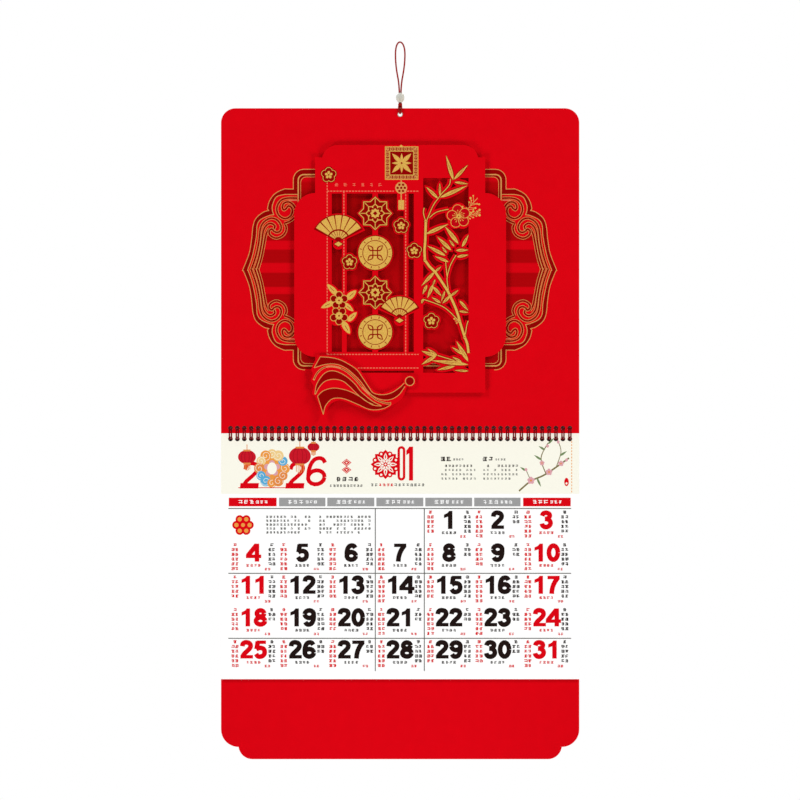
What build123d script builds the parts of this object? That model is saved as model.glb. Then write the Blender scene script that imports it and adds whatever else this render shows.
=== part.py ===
from build123d import *
import math
import os

# Wall calendar: a header board above, with month pages and a back board below it on one twin-loop
# wire, hung from a cord loop. Millimetres. X runs to the right, Y back to the wall and Z up.
# The origin is where the nail carries the cord, and the header board's middle lies at Y = 0.

# Boards and pages
BOARD_WIDTH = 438.0
HEADER_HEIGHT = 397.5
HEADER_THICKNESS = 2.4
TOP_CORNER_RADIUS = 17.7
PAGE_HEIGHT = 300.0
PAGE_BLOCK_THICKNESS = 1.5
BACK_HEIGHT = 396.6
BACK_THICKNESS = 1.8
OUTER_ROUND = 21.4
INNER_ROUND = 17.1
CUSP_RISE = 14.9

# Clearances round the binding
SEAM_GAP = 0.5
RING_AHEAD = 0.3
PAGE_CLEARANCE = 0.2
BACK_TOP_DROP = 1.25

# Twin-loop wire and the holes that it passes through
LOOP_PITCH = 25.4 / 3
WIRE_SPACING = 2.8
WIRE_WIDTH = 1.0
RING_RADIUS = 7.1
RING_SIDES = 6
SEAM_OPENING_DEGREES = 20.0
HOLE_ROW_INSET = 6.25
HOLE_WIDTH = 5.4
ROW_END_MARGIN = 10.0

# Hang hole, cord, bead and knot
HANG_HOLE_INSET = 7.4
HANG_HOLE_DIAMETER = 6.2
CORD_DIAMETER = 1.6
CORD_SIDES = 8
CORD_CLEARANCE = 0.1
BEAD_WIDTH = 10.2
BEAD_HEIGHT = 12.6
BEAD_CENTRE_Z = -67.2
BEAD_BORE = 3.8
BEAD_RIM = 0.5
BEAD_BANDS = 6
BEAD_SIDES = 16
KNOT_WIDTH = 6.0
KNOT_HEIGHT = 5.2
KNOT_SIDES = 12
KNOT_BEND = 0.5

# Raised plaque, measured from the header's top and bottom edges and from the plaque's own edges
PLAQUE_TOP_DROP = 44.9
PLAQUE_FOOT_RISE = 49.9
PLAQUE_WIDTH = 208.0
PLAQUE_THICKNESS = 1.2
PLAQUE_LIFT = 1.6
CROWN_WIDTH = 192.0
CROWN_RADIUS = 20.0
LEDGE_DROP = 15.2
WING_TOP_DROP = 58.7
WING_FOOT_RISE = 43.6
WING_REACH = 25.5
SPACER_INSET = 6.0
SPACER_WINDOW_MARGIN = 3.0

# Windows in the plaque
SIDE_MARGIN = 20.4
LATTICE_TOP_DROP = 59.4
NARROW_WINDOW_WIDTH = 12.4
SLIM_WINDOW_WIDTH = 6.5
LATTICE_BAR = 5.9
POST_WIDTH = 11.5
BAMBOO_WINDOW_WIDTH = 55.4
BAMBOO_TOP_DROP = 40.4
FOOT_MARGIN = 24.2
SLOT_HEIGHT = 2.6
SILL_HEIGHT = 22.9
SMALLEST_OPENING_SIDE = 4.7

# Motifs that stay standing in the windows, each with a plain margin round its print
MOTIF_MARGIN = 2.2
ORNAMENT_COUNT = 4
ORNAMENT_GAP = 5.0
NECK_WIDTH = 7.0
FAN_SPREAD_DEGREES = 61.0
LARGE_FAN_RADIUS = 32.3
SMALL_FAN_RADIUS = 25.1
FAN_FOOT = 7.0
BLOSSOM_RADIUS = 9.8
LARGE_BLOSSOM_RADIUS = 14.7
STEM_WIDTH = 3.0
LEAF_WIDTH = 5.6

# Ribbon
RIBBON_THICKNESS = 1.0
RIBBON_LIFT = 0.8
RIBBON_BALL_RADIUS = 7.6
RIBBON_PAD_WIDTH = 34.0
RIBBON_PAD_HEIGHT = 26.0
RIBBON_PAD_CENTRE = (25.0, 18.0)

# The cord's route as (x, z), from the knot up through the bead, round the nail and back down
CORD_ROUTE = [
    (-0.95, -75.0), (-0.9, -60.0), (-5.1, -31.0), (-6.0, -11.0), (-4.1, -1.9), (-0.2, 1.75),
    (4.0, -2.1), (6.2, -11.5), (5.1, -31.0), (0.9, -60.0), (0.95, -75.0),
]

# Places of the motifs. Blossoms and fans on the lattice: column edge, share of its height, radius
LATTICE_FANS = [("narrow", 0.305, LARGE_FAN_RADIUS), ("slim", 0.775, SMALL_FAN_RADIUS)]
LATTICE_BLOSSOMS = [("bar", 0.43), ("slim_bar", 0.205), ("slim", 0.36)]
SPRAY_SHARES = [0.68, 0.775]

# Bamboo, in shares of its window's width and height, from the window's upper left corner.
# A leaf is its base on the stem and then its tip.
BAMBOO_STEM = [
    (0.99, 1.03), (0.96, 0.87), (0.82, 0.745), (0.52, 0.58), (0.3, 0.49), (0.04, 0.42),
    (0.04, 0.25), (0.22, 0.13), (0.5, 0.05), (0.62, -0.03),
]
BAMBOO_BRANCH = [(0.6, 0.62), (0.6, 0.48), (0.76, 0.37)]
BAMBOO_TWIG = [(0.8, 0.72), (0.5, 0.66), (-0.05, 0.62)]
BAMBOO_LEAVES = [
    (0.28, 0.11, 0.03, 0.045), (0.46, 0.06, 0.28, 0.0), (0.45, 0.07, 0.86, 0.035),
    (0.05, 0.28, 0.47, 0.25), (0.74, 0.39, 0.12, 0.36), (0.74, 0.39, 0.3, 0.31),
    (0.74, 0.38, 0.56, 0.265), (0.74, 0.38, 0.98, 0.3), (0.25, 0.48, -0.02, 0.56),
    (0.36, 0.51, 0.1, 0.62), (0.99, 0.92, 0.68, 0.835), (0.99, 0.96, 0.3, 0.955),
    (0.36, 0.955, -0.02, 0.88), (0.36, 0.955, -0.02, 0.99),
]
BAMBOO_BLOSSOM = (0.17, 0.735)
BIG_BLOSSOM = (0.79, 0.195)

# Ribbon outline, from the plaque's lower left corner: upper edge, lower edge and folded ends
RIBBON_UPPER = [(3.5, 45.8), (19.0, 45.1), (33.9, 41.8), (55.5, 27.0), (68.6, 6.5), (82.6, -0.4),
                (102.2, 8.3), (108.3, 13.0)]
RIBBON_BALL_CENTRE = (115.8, 13.95)
RIBBON_LOWER = [(112.2, 7.2), (107.4, -5.2), (97.6, -13.6), (85.4, -21.1), (73.2, -23.9),
                (50.8, -17.1), (31.1, -9.4), (17.5, -15.5), (10.1, -30.0)]
RIBBON_TAIL = [(10.1, -30.0), (6.1, -18.0), (-0.2, -4.3)]
RIBBON_FOLDS = [(-0.2, -4.3), (-3.6, -1.0), (-1.8, 7.5), (-5.4, 15.0), (-2.6, 22.5), (-4.4, 29.5),
                (3.5, 45.8)]

# Layers from front to back
header_front = -HEADER_THICKNESS / 2
plaque_back = header_front - PLAQUE_LIFT
plaque_front = plaque_back - PLAQUE_THICKNESS
ribbon_front = plaque_front - RIBBON_LIFT - RIBBON_THICKNESS
ring_y = header_front - RING_AHEAD
page_back = ring_y + PAGE_BLOCK_THICKNESS
back_front = page_back + PAGE_CLEARANCE

# Heights from the cord down
knot_top = CORD_ROUTE[0][1]
header_top = knot_top - KNOT_HEIGHT - CORD_CLEARANCE
header_bottom = header_top - HEADER_HEIGHT
ring_z = header_bottom - SEAM_GAP / 2
page_top = ring_z - SEAM_GAP / 2
back_top = page_top - BACK_TOP_DROP
back_bottom = back_top - BACK_HEIGHT
hang_hole_z = header_top - HANG_HOLE_INSET
hole_row_offset = HOLE_ROW_INSET + SEAM_GAP / 2
loop_count = int((BOARD_WIDTH - 2 * ROW_END_MARGIN) // LOOP_PITCH) + 1

# The plaque's edges and window columns
plaque_top = header_top - PLAQUE_TOP_DROP
plaque_bottom = header_bottom + PLAQUE_FOOT_RISE
slot_bottom = plaque_bottom + FOOT_MARGIN
lattice_top = plaque_top - LATTICE_TOP_DROP
lattice_bottom = slot_bottom + SLOT_HEIGHT + SILL_HEIGHT
lattice_height = lattice_top - lattice_bottom
bamboo_top = plaque_top - BAMBOO_TOP_DROP
bamboo_height = bamboo_top - slot_bottom
narrow_left = -PLAQUE_WIDTH / 2 + SIDE_MARGIN
narrow_right = narrow_left + NARROW_WINDOW_WIDTH
bamboo_right = PLAQUE_WIDTH / 2 - SIDE_MARGIN
bamboo_left = bamboo_right - BAMBOO_WINDOW_WIDTH
slim_right = bamboo_left - POST_WIDTH
slim_left = slim_right - SLIM_WINDOW_WIDTH
main_left = narrow_right + LATTICE_BAR
main_right = slim_left - LATTICE_BAR
main_centre = (main_left + main_right) / 2


def facing(y):
    """The sketch plane whose face lies at y and is drawn as seen from the front."""
    return Plane.XZ.offset(-y)


def hole_row(z):
    """One row of binding holes in a board's sketch."""
    with Locations((0, z)):
        with GridLocations(LOOP_PITCH, LOOP_PITCH, loop_count, 1):
            Rectangle(HOLE_WIDTH, HOLE_WIDTH, mode=Mode.SUBTRACT)


def window(left, right, bottom, top):
    """One rectangular window in the plaque's sketch."""
    with Locations(((left + right) / 2, (bottom + top) / 2)):
        Rectangle(right - left, top - bottom)


def standing(points):
    """A straight-edged shape that stays standing in the windows."""
    Polygon(*points, align=None, mode=Mode.SUBTRACT)


def blossom(x, z, radius):
    """A five-petalled outline, with its margin."""
    outer = radius + MOTIF_MARGIN
    points = []
    for petal in range(5):
        middle = 90 + 72 * petal
        for turn, share in ((-36, 0.8), (0, 1.04)):
            angle = math.radians(middle + turn)
            points.append((x + outer * share * math.cos(angle), z + outer * share * math.sin(angle)))
    standing(points)


def fan(x, z, radius):
    """An open fan with its foot, in straight facets along its arc, with its margin."""
    outer = radius + MOTIF_MARGIN
    foot_z = z - FAN_FOOT - MOTIF_MARGIN
    facets = 7
    points = [(x - FAN_FOOT / 2, foot_z), (x + FAN_FOOT / 2, foot_z), (x + FAN_FOOT, z)]
    for step in range(facets + 1):
        angle = math.radians(FAN_SPREAD_DEGREES * (1 - 2 * step / facets))
        points.append((x + outer * math.sin(angle), z + outer * math.cos(angle)))
    points.append((x - FAN_FOOT, z))
    standing(points)


def strip(start, end, width):
    """A straight strip from start to end, a little longer than the two points."""
    run = Vector(*end) - Vector(*start)
    middle = (Vector(*start) + Vector(*end)) / 2
    turn = math.degrees(math.atan2(run.Y, run.X))
    with Locations(Location((middle.X, middle.Y), turn)):
        Rectangle(run.length + width * 0.6, width, mode=Mode.SUBTRACT)


def leaf(base, tip):
    """A pointed leaf with its margin, from its base on the stem to past its tip."""
    along = (Vector(*tip) - Vector(*base)).normalized()
    across = Vector(-along.Y, along.X)
    half = LEAF_WIDTH / 2 + MOTIF_MARGIN
    start = Vector(*base)
    length = (Vector(*tip) - start).length
    points = [
        start,
        start + along * (length * 0.4) - across * half,
        start + along * (length + 2 * MOTIF_MARGIN),
        start + along * (length * 0.4) + across * half,
    ]
    standing([(point.X, point.Y) for point in points])


def in_bamboo_window(share):
    """The point at a share of the bamboo window's width and height."""
    return (bamboo_left + share[0] * BAMBOO_WINDOW_WIDTH, bamboo_top - share[1] * bamboo_height)


# Header board: one thick board with a hang hole and a row of binding holes
with BuildPart() as header_board:
    with BuildSketch(facing(header_front)) as header_outline:
        with Locations((0, (header_top + header_bottom) / 2)):
            Rectangle(BOARD_WIDTH, HEADER_HEIGHT)
        fillet(header_outline.vertices().group_by(Axis.Y)[-1], TOP_CORNER_RADIUS)
        with Locations((0, hang_hole_z)):
            Circle(HANG_HOLE_DIAMETER / 2, mode=Mode.SUBTRACT)
        hole_row(ring_z + hole_row_offset)
    extrude(amount=-HEADER_THICKNESS)

# Plaque: a die-cut card with a stepped crown, round wings and windows that leave the motifs standing
with BuildPart() as plaque:
    with BuildSketch(facing(plaque_front)):
        with BuildLine():
            crown_corner = CROWN_WIDTH / 2 - CROWN_RADIUS
            crown_turn = math.degrees(math.acos(1 - LEDGE_DROP / CROWN_RADIUS))
            body = PLAQUE_WIDTH / 2
            wing = body + WING_REACH
            wing_top = plaque_top - WING_TOP_DROP
            wing_bottom = plaque_bottom + WING_FOOT_RISE
            Line((0, plaque_top), (crown_corner, plaque_top))
            crown = CenterArc((crown_corner, plaque_top - CROWN_RADIUS), CROWN_RADIUS, 90, -crown_turn)
            Polyline(crown @ 1, (body, plaque_top - LEDGE_DROP), (body, wing_top))
            TangentArc((body, wing_top), (wing, wing_top - WING_REACH), tangent=(1, 0))
            Line((wing, wing_top - WING_REACH), (wing, wing_bottom + WING_REACH))
            TangentArc((wing, wing_bottom + WING_REACH), (body, wing_bottom), tangent=(0, -1))
            Polyline((body, wing_bottom), (body, plaque_bottom), (0, plaque_bottom))
            mirror(about=Plane.YZ)
        make_face()
    extrude(amount=-PLAQUE_THICKNESS)
    with BuildSketch(facing(plaque_front)) as windows:
        window(narrow_left, narrow_right, lattice_bottom, lattice_top)
        window(main_left, main_right, lattice_bottom, lattice_top)
        window(slim_left, slim_right, lattice_bottom, lattice_top)
        window(narrow_left, slim_right, slot_bottom, slot_bottom + SLOT_HEIGHT)
        window(bamboo_left, bamboo_right, slot_bottom, bamboo_top)

        # Four ornaments in a column, joined by a neck
        pitch = lattice_height / ORNAMENT_COUNT
        reach = min(pitch - ORNAMENT_GAP, main_right - main_left - ORNAMENT_GAP) / 2
        with Locations((main_centre, (lattice_top + lattice_bottom) / 2)):
            Rectangle(NECK_WIDTH, lattice_height, mode=Mode.SUBTRACT)
        for place in range(ORNAMENT_COUNT):
            centre_z = lattice_top - pitch * (place + 0.5)
            with Locations((main_centre, centre_z)):
                if place % 2:
                    RegularPolygon(reach, 12, mode=Mode.SUBTRACT)
                else:
                    Rectangle(reach * math.sqrt(2), reach * math.sqrt(2), mode=Mode.SUBTRACT)
                    RegularPolygon(reach, 4, mode=Mode.SUBTRACT)

        # Fans, blossoms and a spray of two blossoms on the lattice bars
        column = {
            "narrow": (narrow_left + narrow_right) / 2,
            "bar": narrow_right + LATTICE_BAR / 2,
            "slim_bar": slim_left - LATTICE_BAR / 2,
            "slim": (slim_left + slim_right) / 2,
        }
        for place, share, radius in LATTICE_FANS:
            fan(column[place], lattice_top - share * lattice_height, radius)
        for place, share in LATTICE_BLOSSOMS:
            blossom(column[place], lattice_top - share * lattice_height, BLOSSOM_RADIUS)
        for share in SPRAY_SHARES:
            blossom(column["narrow"], lattice_top - share * lattice_height, BLOSSOM_RADIUS)
            base = Vector(column["narrow"], lattice_top - share * lattice_height)
            for turn in (30, 150):
                tip = base + Vector(2 * BLOSSOM_RADIUS, 0).rotate(Axis.Z, turn)
                leaf((base.X, base.Y), (tip.X, tip.Y))

        # Bamboo: a jointed stem with twigs and pointed leaves, and two blossoms
        stem = [in_bamboo_window(share) for share in BAMBOO_STEM]
        for start, end in zip(stem, stem[1:]):
            strip(start, end, STEM_WIDTH + 2 * MOTIF_MARGIN)
        for twig in (BAMBOO_BRANCH, BAMBOO_TWIG):
            for start, end in zip(twig, twig[1:]):
                strip(in_bamboo_window(start), in_bamboo_window(end), STEM_WIDTH + MOTIF_MARGIN)
        for base_u, base_v, tip_u, tip_v in BAMBOO_LEAVES:
            leaf(in_bamboo_window((base_u, base_v)), in_bamboo_window((tip_u, tip_v)))
        blossom(*in_bamboo_window(BAMBOO_BLOSSOM), BLOSSOM_RADIUS)
        blossom(*in_bamboo_window(BIG_BLOSSOM), LARGE_BLOSSOM_RADIUS)
    large_openings = [face for face in windows.sketch.faces() if face.area > SMALLEST_OPENING_SIDE**2]
    extrude(large_openings, amount=PLAQUE_THICKNESS, dir=(0, 1, 0), mode=Mode.SUBTRACT)

# Plaque spacer: a frame of board behind the plaque's margins
with BuildPart() as plaque_spacer:
    with BuildSketch(facing(plaque_back)):
        spacer_top = plaque_top - LEDGE_DROP - SPACER_INSET
        spacer_bottom = plaque_bottom + SPACER_INSET
        with Locations((0, (spacer_top + spacer_bottom) / 2)):
            Rectangle(PLAQUE_WIDTH - 2 * SPACER_INSET, spacer_top - spacer_bottom)
        with Locations((0, (wing_top + wing_bottom) / 2)):
            Rectangle(2 * wing - 2 * SPACER_INSET, wing_top - wing_bottom - 2 * WING_REACH)
        opening_left = narrow_left - SPACER_WINDOW_MARGIN
        opening_right = bamboo_right + SPACER_WINDOW_MARGIN
        opening_bottom = slot_bottom - SPACER_WINDOW_MARGIN
        opening_top = bamboo_top + SPACER_WINDOW_MARGIN
        with Locations(((opening_left + opening_right) / 2, (opening_bottom + opening_top) / 2)):
            Rectangle(opening_right - opening_left, opening_top - opening_bottom, mode=Mode.SUBTRACT)
    extrude(amount=-PLAQUE_LIFT)

# Ribbon: a folded swallow-tail ribbon that ends in a ball, and the pad that lifts it
corner = Vector(-PLAQUE_WIDTH / 2, plaque_bottom)


def at_corner(point):
    """A point of the ribbon, which is measured from the plaque's lower left corner."""
    return (corner.X + point[0], corner.Y + point[1])


def smooth(points):
    """Points along a smooth curve through the ribbon's points, in short facets."""
    curve = Spline(*[at_corner(point) for point in points], mode=Mode.PRIVATE)
    facets = 2 * len(points)
    return [curve @ (step / facets) for step in range(facets + 1)]


with BuildPart() as ribbon_applique:
    with BuildSketch(facing(ribbon_front)):
        with BuildLine():
            Polyline(*smooth(RIBBON_UPPER))
            ball_far = (RIBBON_BALL_CENTRE[0] + RIBBON_BALL_RADIUS, RIBBON_BALL_CENTRE[1])
            ThreePointArc(at_corner(RIBBON_UPPER[-1]), at_corner(ball_far), at_corner(RIBBON_LOWER[0]))
            Polyline(*smooth(RIBBON_LOWER))
            Polyline(*smooth(RIBBON_TAIL))
            Polyline(*[at_corner(point) for point in RIBBON_FOLDS])
        make_face()
    extrude(amount=-RIBBON_THICKNESS)

with BuildPart() as ribbon_spacer:
    with BuildSketch(facing(plaque_front - RIBBON_LIFT)):
        with Locations(at_corner(RIBBON_PAD_CENTRE)):
            Rectangle(RIBBON_PAD_WIDTH, RIBBON_PAD_HEIGHT)
    extrude(amount=-RIBBON_LIFT)

# Page block: the month sheets as one block
with BuildPart() as page_block:
    with BuildSketch(facing(ring_y)):
        with Locations((0, page_top - PAGE_HEIGHT / 2)):
            Rectangle(BOARD_WIDTH, PAGE_HEIGHT)
        hole_row(ring_z - hole_row_offset)
    extrude(amount=-PAGE_BLOCK_THICKNESS)

# Back board: two round steps at each lower corner
with BuildPart() as back_board:
    with BuildSketch(facing(back_front)):
        with BuildLine():
            half = BOARD_WIDTH / 2
            cusp = (half - OUTER_ROUND, back_bottom + CUSP_RISE)
            inner_reach = math.sqrt(2 * INNER_ROUND * CUSP_RISE - CUSP_RISE**2)
            foot = (cusp[0] - inner_reach, back_bottom)
            Polyline((0, back_top), (half, back_top), (half, cusp[1] + OUTER_ROUND))
            TangentArc((half, cusp[1] + OUTER_ROUND), cusp, tangent=(0, -1))
            TangentArc(foot, cusp, tangent=(1, 0))
            Line(foot, (0, back_bottom))
            mirror(about=Plane.YZ)
        make_face()
        hole_row(ring_z - hole_row_offset)
    extrude(amount=-BACK_THICKNESS)


def ring_corner(step, radius):
    """One corner of the wire's ring, which opens at the back."""
    sweep_degrees = 360 - SEAM_OPENING_DEGREES
    angle = math.radians(SEAM_OPENING_DEGREES / 2 + sweep_degrees * step / RING_SIDES)
    return Vector(radius * math.cos(angle), radius * math.sin(angle))


def ring_ends(step, neighbour):
    """The end of the ring's side from step to neighbour, one wire long."""
    side = ring_corner(neighbour, RING_RADIUS) - ring_corner(step, RING_RADIUS)
    share = WIRE_WIDTH / side.length
    outer, outer_next = ring_corner(step, ring_outer), ring_corner(neighbour, ring_outer)
    inner, inner_next = ring_corner(step, ring_inner), ring_corner(neighbour, ring_inner)
    return [outer, outer + (outer_next - outer) * share, inner + (inner_next - inner) * share, inner]


# Twin-loop wire: each loop is two open rings joined at their tips, and the next loop starts at its base
half_turn = math.radians((360 - SEAM_OPENING_DEGREES) / RING_SIDES / 2)
ring_outer = RING_RADIUS + WIRE_WIDTH / 2 / math.cos(half_turn)
ring_inner = RING_RADIUS - WIRE_WIDTH / 2 / math.cos(half_turn)
with BuildPart() as one_loop:
    for side in (-1, 1):
        with BuildSketch(Plane.YZ.offset(side * WIRE_SPACING / 2 - WIRE_WIDTH / 2)):
            with BuildLine():
                outer_corners = [ring_corner(step, ring_outer) for step in range(RING_SIDES + 1)]
                inner_corners = [ring_corner(step, ring_inner) for step in range(RING_SIDES + 1)]
                Polyline(*outer_corners, *reversed(inner_corners), close=True)
            make_face()
        extrude(amount=WIRE_WIDTH)
    with BuildSketch(Plane.YZ.offset(-WIRE_SPACING / 2)):
        with BuildLine():
            Polyline(*ring_ends(RING_SIDES, RING_SIDES - 1), close=True)
        make_face()
    extrude(amount=WIRE_SPACING)

with BuildPart() as base_link:
    with BuildSketch(Plane.YZ.offset(WIRE_SPACING / 2)):
        with BuildLine():
            Polyline(*ring_ends(0, 1), close=True)
        make_face()
    extrude(amount=LOOP_PITCH - WIRE_SPACING)

with BuildPart() as twin_loop_wire:
    with Locations((0, ring_y, ring_z)):
        with GridLocations(LOOP_PITCH, LOOP_PITCH, loop_count, 1):
            add(one_loop.part)
    with Locations((-LOOP_PITCH / 2, ring_y, ring_z)):
        with GridLocations(LOOP_PITCH, LOOP_PITCH, loop_count - 1, 1):
            add(base_link.part)

def band_taper(low_radius, high_radius, height, facets):
    """The taper in degrees of a band of flat facets between two radii."""
    return math.degrees(math.atan2((low_radius - high_radius) * math.cos(math.pi / facets), height))


def cord_section():
    """The cord's cross-section in facets, with the area of the round cord."""
    facet_angle = 2 * math.pi / CORD_SIDES
    circle_area = math.pi * CORD_DIAMETER**2 / 4
    RegularPolygon(math.sqrt(2 * circle_area / (CORD_SIDES * math.sin(facet_angle))), CORD_SIDES)


# Cord loop: a plain tube of straight runs and the largest arcs that the runs allow
route = [Vector(x, 0, z) for x, z in CORD_ROUTE]
cord_radii = []
for before, point, after in zip(route, route[1:], route[2:]):
    run_in, run_out = point - before, after - point
    turn = math.radians(run_in.get_angle(run_out))
    cord_radii.append(0.45 * min(run_in.length, run_out.length) / math.tan(turn / 2))
print("cord radii:", [round(radius, 1) for radius in cord_radii])
with BuildPart() as hanging_cord:
    with BuildLine() as cord_line:
        FilletPolyline(*route, radius=cord_radii)
    with BuildSketch(Plane(origin=cord_line.line @ 0, z_dir=cord_line.line % 0)):
        cord_section()
    sweep()
cord_length = cord_line.wires()[0].length
tube_volume = math.pi * CORD_DIAMETER**2 / 4 * cord_length
print("cord length:", round(cord_length, 1), "tube share:", round(hanging_cord.part.volume / tube_volume, 4))

# Pearl bead: an oval bead, in bands of flat facets, with a bore for both strands
with BuildPart() as pearl_bead:
    rim_angle = math.asin((BEAD_BORE + 2 * BEAD_RIM) / BEAD_WIDTH)
    bands = []
    for step in range(BEAD_BANDS + 1):
        angle = rim_angle + (math.pi - 2 * rim_angle) * step / BEAD_BANDS
        band_z = BEAD_CENTRE_Z - BEAD_HEIGHT / 2 * math.cos(angle)
        bands.append((band_z, BEAD_WIDTH / 2 * math.sin(angle)))
    for (low_z, low_radius), (high_z, high_radius) in zip(bands, bands[1:]):
        with BuildSketch(Plane.XY.offset(low_z)):
            RegularPolygon(low_radius, BEAD_SIDES)
        extrude(amount=high_z - low_z, taper=band_taper(low_radius, high_radius, high_z - low_z, BEAD_SIDES))
    with BuildSketch(Plane.XY.offset(BEAD_CENTRE_Z)):
        RegularPolygon(BEAD_BORE / 2, BEAD_SIDES, major_radius=False)
    extrude(amount=BEAD_HEIGHT / 2, both=True, mode=Mode.SUBTRACT)

# Cord knot: the hitch above the board's edge and the strand that passes through the hang hole
strand_y = HEADER_THICKNESS / 2 + CORD_CLEARANCE + CORD_DIAMETER / 2
strand_top = knot_top - KNOT_HEIGHT / 2
strand_bottom = hang_hole_z + HANG_HOLE_DIAMETER / 2 - CORD_CLEARANCE - CORD_DIAMETER / 2
with BuildPart() as cord_knot:
    collar_height = KNOT_HEIGHT * 0.45
    shoulder_height = KNOT_HEIGHT - collar_height
    with BuildSketch(Plane.XY.offset(knot_top - KNOT_HEIGHT)):
        RegularPolygon(KNOT_WIDTH / 2, KNOT_SIDES)
    extrude(amount=collar_height)
    with BuildSketch(Plane.XY.offset(knot_top - shoulder_height)):
        RegularPolygon(KNOT_WIDTH / 2, KNOT_SIDES)
    extrude(
        amount=shoulder_height,
        taper=band_taper(KNOT_WIDTH / 2, CORD_DIAMETER + CORD_CLEARANCE, shoulder_height, KNOT_SIDES),
    )
    with BuildLine() as strand_line:
        Polyline(
            (0, -strand_y, strand_top),
            (0, -strand_y, strand_bottom + KNOT_BEND),
            (0, -strand_y + KNOT_BEND, strand_bottom),
            (0, strand_y - KNOT_BEND, strand_bottom),
            (0, strand_y, strand_bottom + KNOT_BEND),
            (0, strand_y, strand_top),
        )
    with BuildSketch(Plane(origin=strand_line.line @ 0, z_dir=strand_line.line % 0)):
        cord_section()
    sweep(transition=Transition.RIGHT)

# Write each piece to its own file
pieces = {
    "header_board": header_board,
    "plaque": plaque,
    "plaque_spacer": plaque_spacer,
    "ribbon_applique": ribbon_applique,
    "ribbon_spacer": ribbon_spacer,
    "page_block": page_block,
    "back_board": back_board,
    "twin_loop_wire": twin_loop_wire,
    "hanging_cord": hanging_cord,
    "pearl_bead": pearl_bead,
    "cord_knot": cord_knot,
}
os.makedirs("parts", exist_ok=True)
for name, piece in pieces.items():
    piece.part.label = name
    export_step(piece.part, f"parts/{name}.step")
print("ring axis at y", round(ring_y, 3), "z", round(ring_z, 3), "loops", loop_count)
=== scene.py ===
"""Looks of the wall calendar: boards, foil prints, pages, wire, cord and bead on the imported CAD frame."""
import math
import random

import bpy
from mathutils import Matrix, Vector
from mathutils.geometry import delaunay_2d_cdt


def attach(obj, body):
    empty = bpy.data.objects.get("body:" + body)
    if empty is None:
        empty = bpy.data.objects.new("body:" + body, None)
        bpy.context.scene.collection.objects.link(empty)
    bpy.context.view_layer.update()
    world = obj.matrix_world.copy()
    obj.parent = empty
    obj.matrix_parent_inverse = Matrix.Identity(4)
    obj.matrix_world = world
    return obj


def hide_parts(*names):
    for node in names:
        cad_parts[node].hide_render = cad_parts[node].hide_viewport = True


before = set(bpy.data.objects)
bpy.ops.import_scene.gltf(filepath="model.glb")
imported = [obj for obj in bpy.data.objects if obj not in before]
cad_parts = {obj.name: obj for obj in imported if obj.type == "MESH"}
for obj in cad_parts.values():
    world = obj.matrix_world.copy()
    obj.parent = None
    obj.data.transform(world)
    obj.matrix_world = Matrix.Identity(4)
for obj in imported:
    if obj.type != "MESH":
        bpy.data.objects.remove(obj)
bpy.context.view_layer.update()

MM = 0.001

# The photograph's scale: one pixel in millimetres, and the pixel where the frame's origin lies
PIXEL = 1.2227
ORIGIN_PX = (400.15, 42.6)
PHOTO_PX = 800

# Boards and cards, in millimetres, as in the CAD model
HALF_WIDTH = 219.0
HEADER_TOP, HEADER_FOOT, HEADER_CORNER = -80.3, -477.8, 17.7
HEADER_FRONT, HEADER_BACK = -1.2, 1.2
HANG_HOLE_Z, HANG_HOLE_WIDTH = -87.7, 6.2
LOOPS, LOOP_PITCH = 50, 8.46667
HOLE_WIDTH, HEADER_HOLES_Z, PAGE_HOLES_Z = 5.9, -471.55, -484.6
PAGE_TOP, PAGE_FOOT = -478.3, -778.3
PAGE_FRONT, PAGE_BACK, LEAVES, LEAF_FULLNESS = -1.5, 0.0, 12, 0.8
BACK_TOP = -479.55
# The back board's stepped lower corner: two arcs, each with centre, radius and angles
BACK_CORNER, BACK_CORNER_STEP = (-197.6, -839.85, 21.4, 180, 270), (-180.63, -859.05, 17.1, 187.4, 270)
BACK_FRONT, BACK_REAR = 0.2, 2.0
CHAMFER, CARD_EDGE = 0.2, 0.15

# The plaque, in millimetres
PLAQUE_TOP, PLAQUE_FOOT, PLAQUE_HALF = -125.2, -427.9, 104.0
PLAQUE_FRONT, PLAQUE_BACK = -4.0, -2.8
CROWN_ARC_X, CROWN_RADIUS, LEDGE_Z = 76.0, 20.0, -140.4
WING_HALF, WING_TOP, WING_FOOT, WING_RADIUS = 129.5, -183.9, -384.3, 25.5
LATTICE_TOP, LATTICE_FOOT = -184.6, -378.2
# Its windows: left, right, top and foot
WINDOWS = [(-83.6, -71.2, LATTICE_TOP, LATTICE_FOOT), (-65.3, 4.3, LATTICE_TOP, LATTICE_FOOT),
           (10.2, 16.7, LATTICE_TOP, LATTICE_FOOT), (-83.6, 16.7, -401.1, -403.7),
           (28.2, 83.6, -165.6, -403.7)]
MARGIN, BAMBOO_MARGIN = 2.2, 3.0
ORNAMENT_X, ORNAMENT_ROWS, ORNAMENT_REACH, NECK = -30.5, (-208.8, -257.2, -305.6, -354.0), 21.7, 7.0
RIBBON_FRONT, RIBBON_BACK = -5.8, -4.8

# The binding wire, in millimetres
RING_Y, RING_Z, RING_RADIUS = -1.5, -478.05, 6.5
WIRE_RADIUS, TWIN_OFFSET = 0.88, 1.26
RING_DEGREES, RING_TIP = (8, 341, 16), (0.97, 0.24)
# A loop's two strands draw together over the ring's last radians, to a share of their distance
CLOSING_ANGLE, CLOSED_SHARE, OPEN_SHARE = 1.2, 0.55, 0.45

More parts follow.
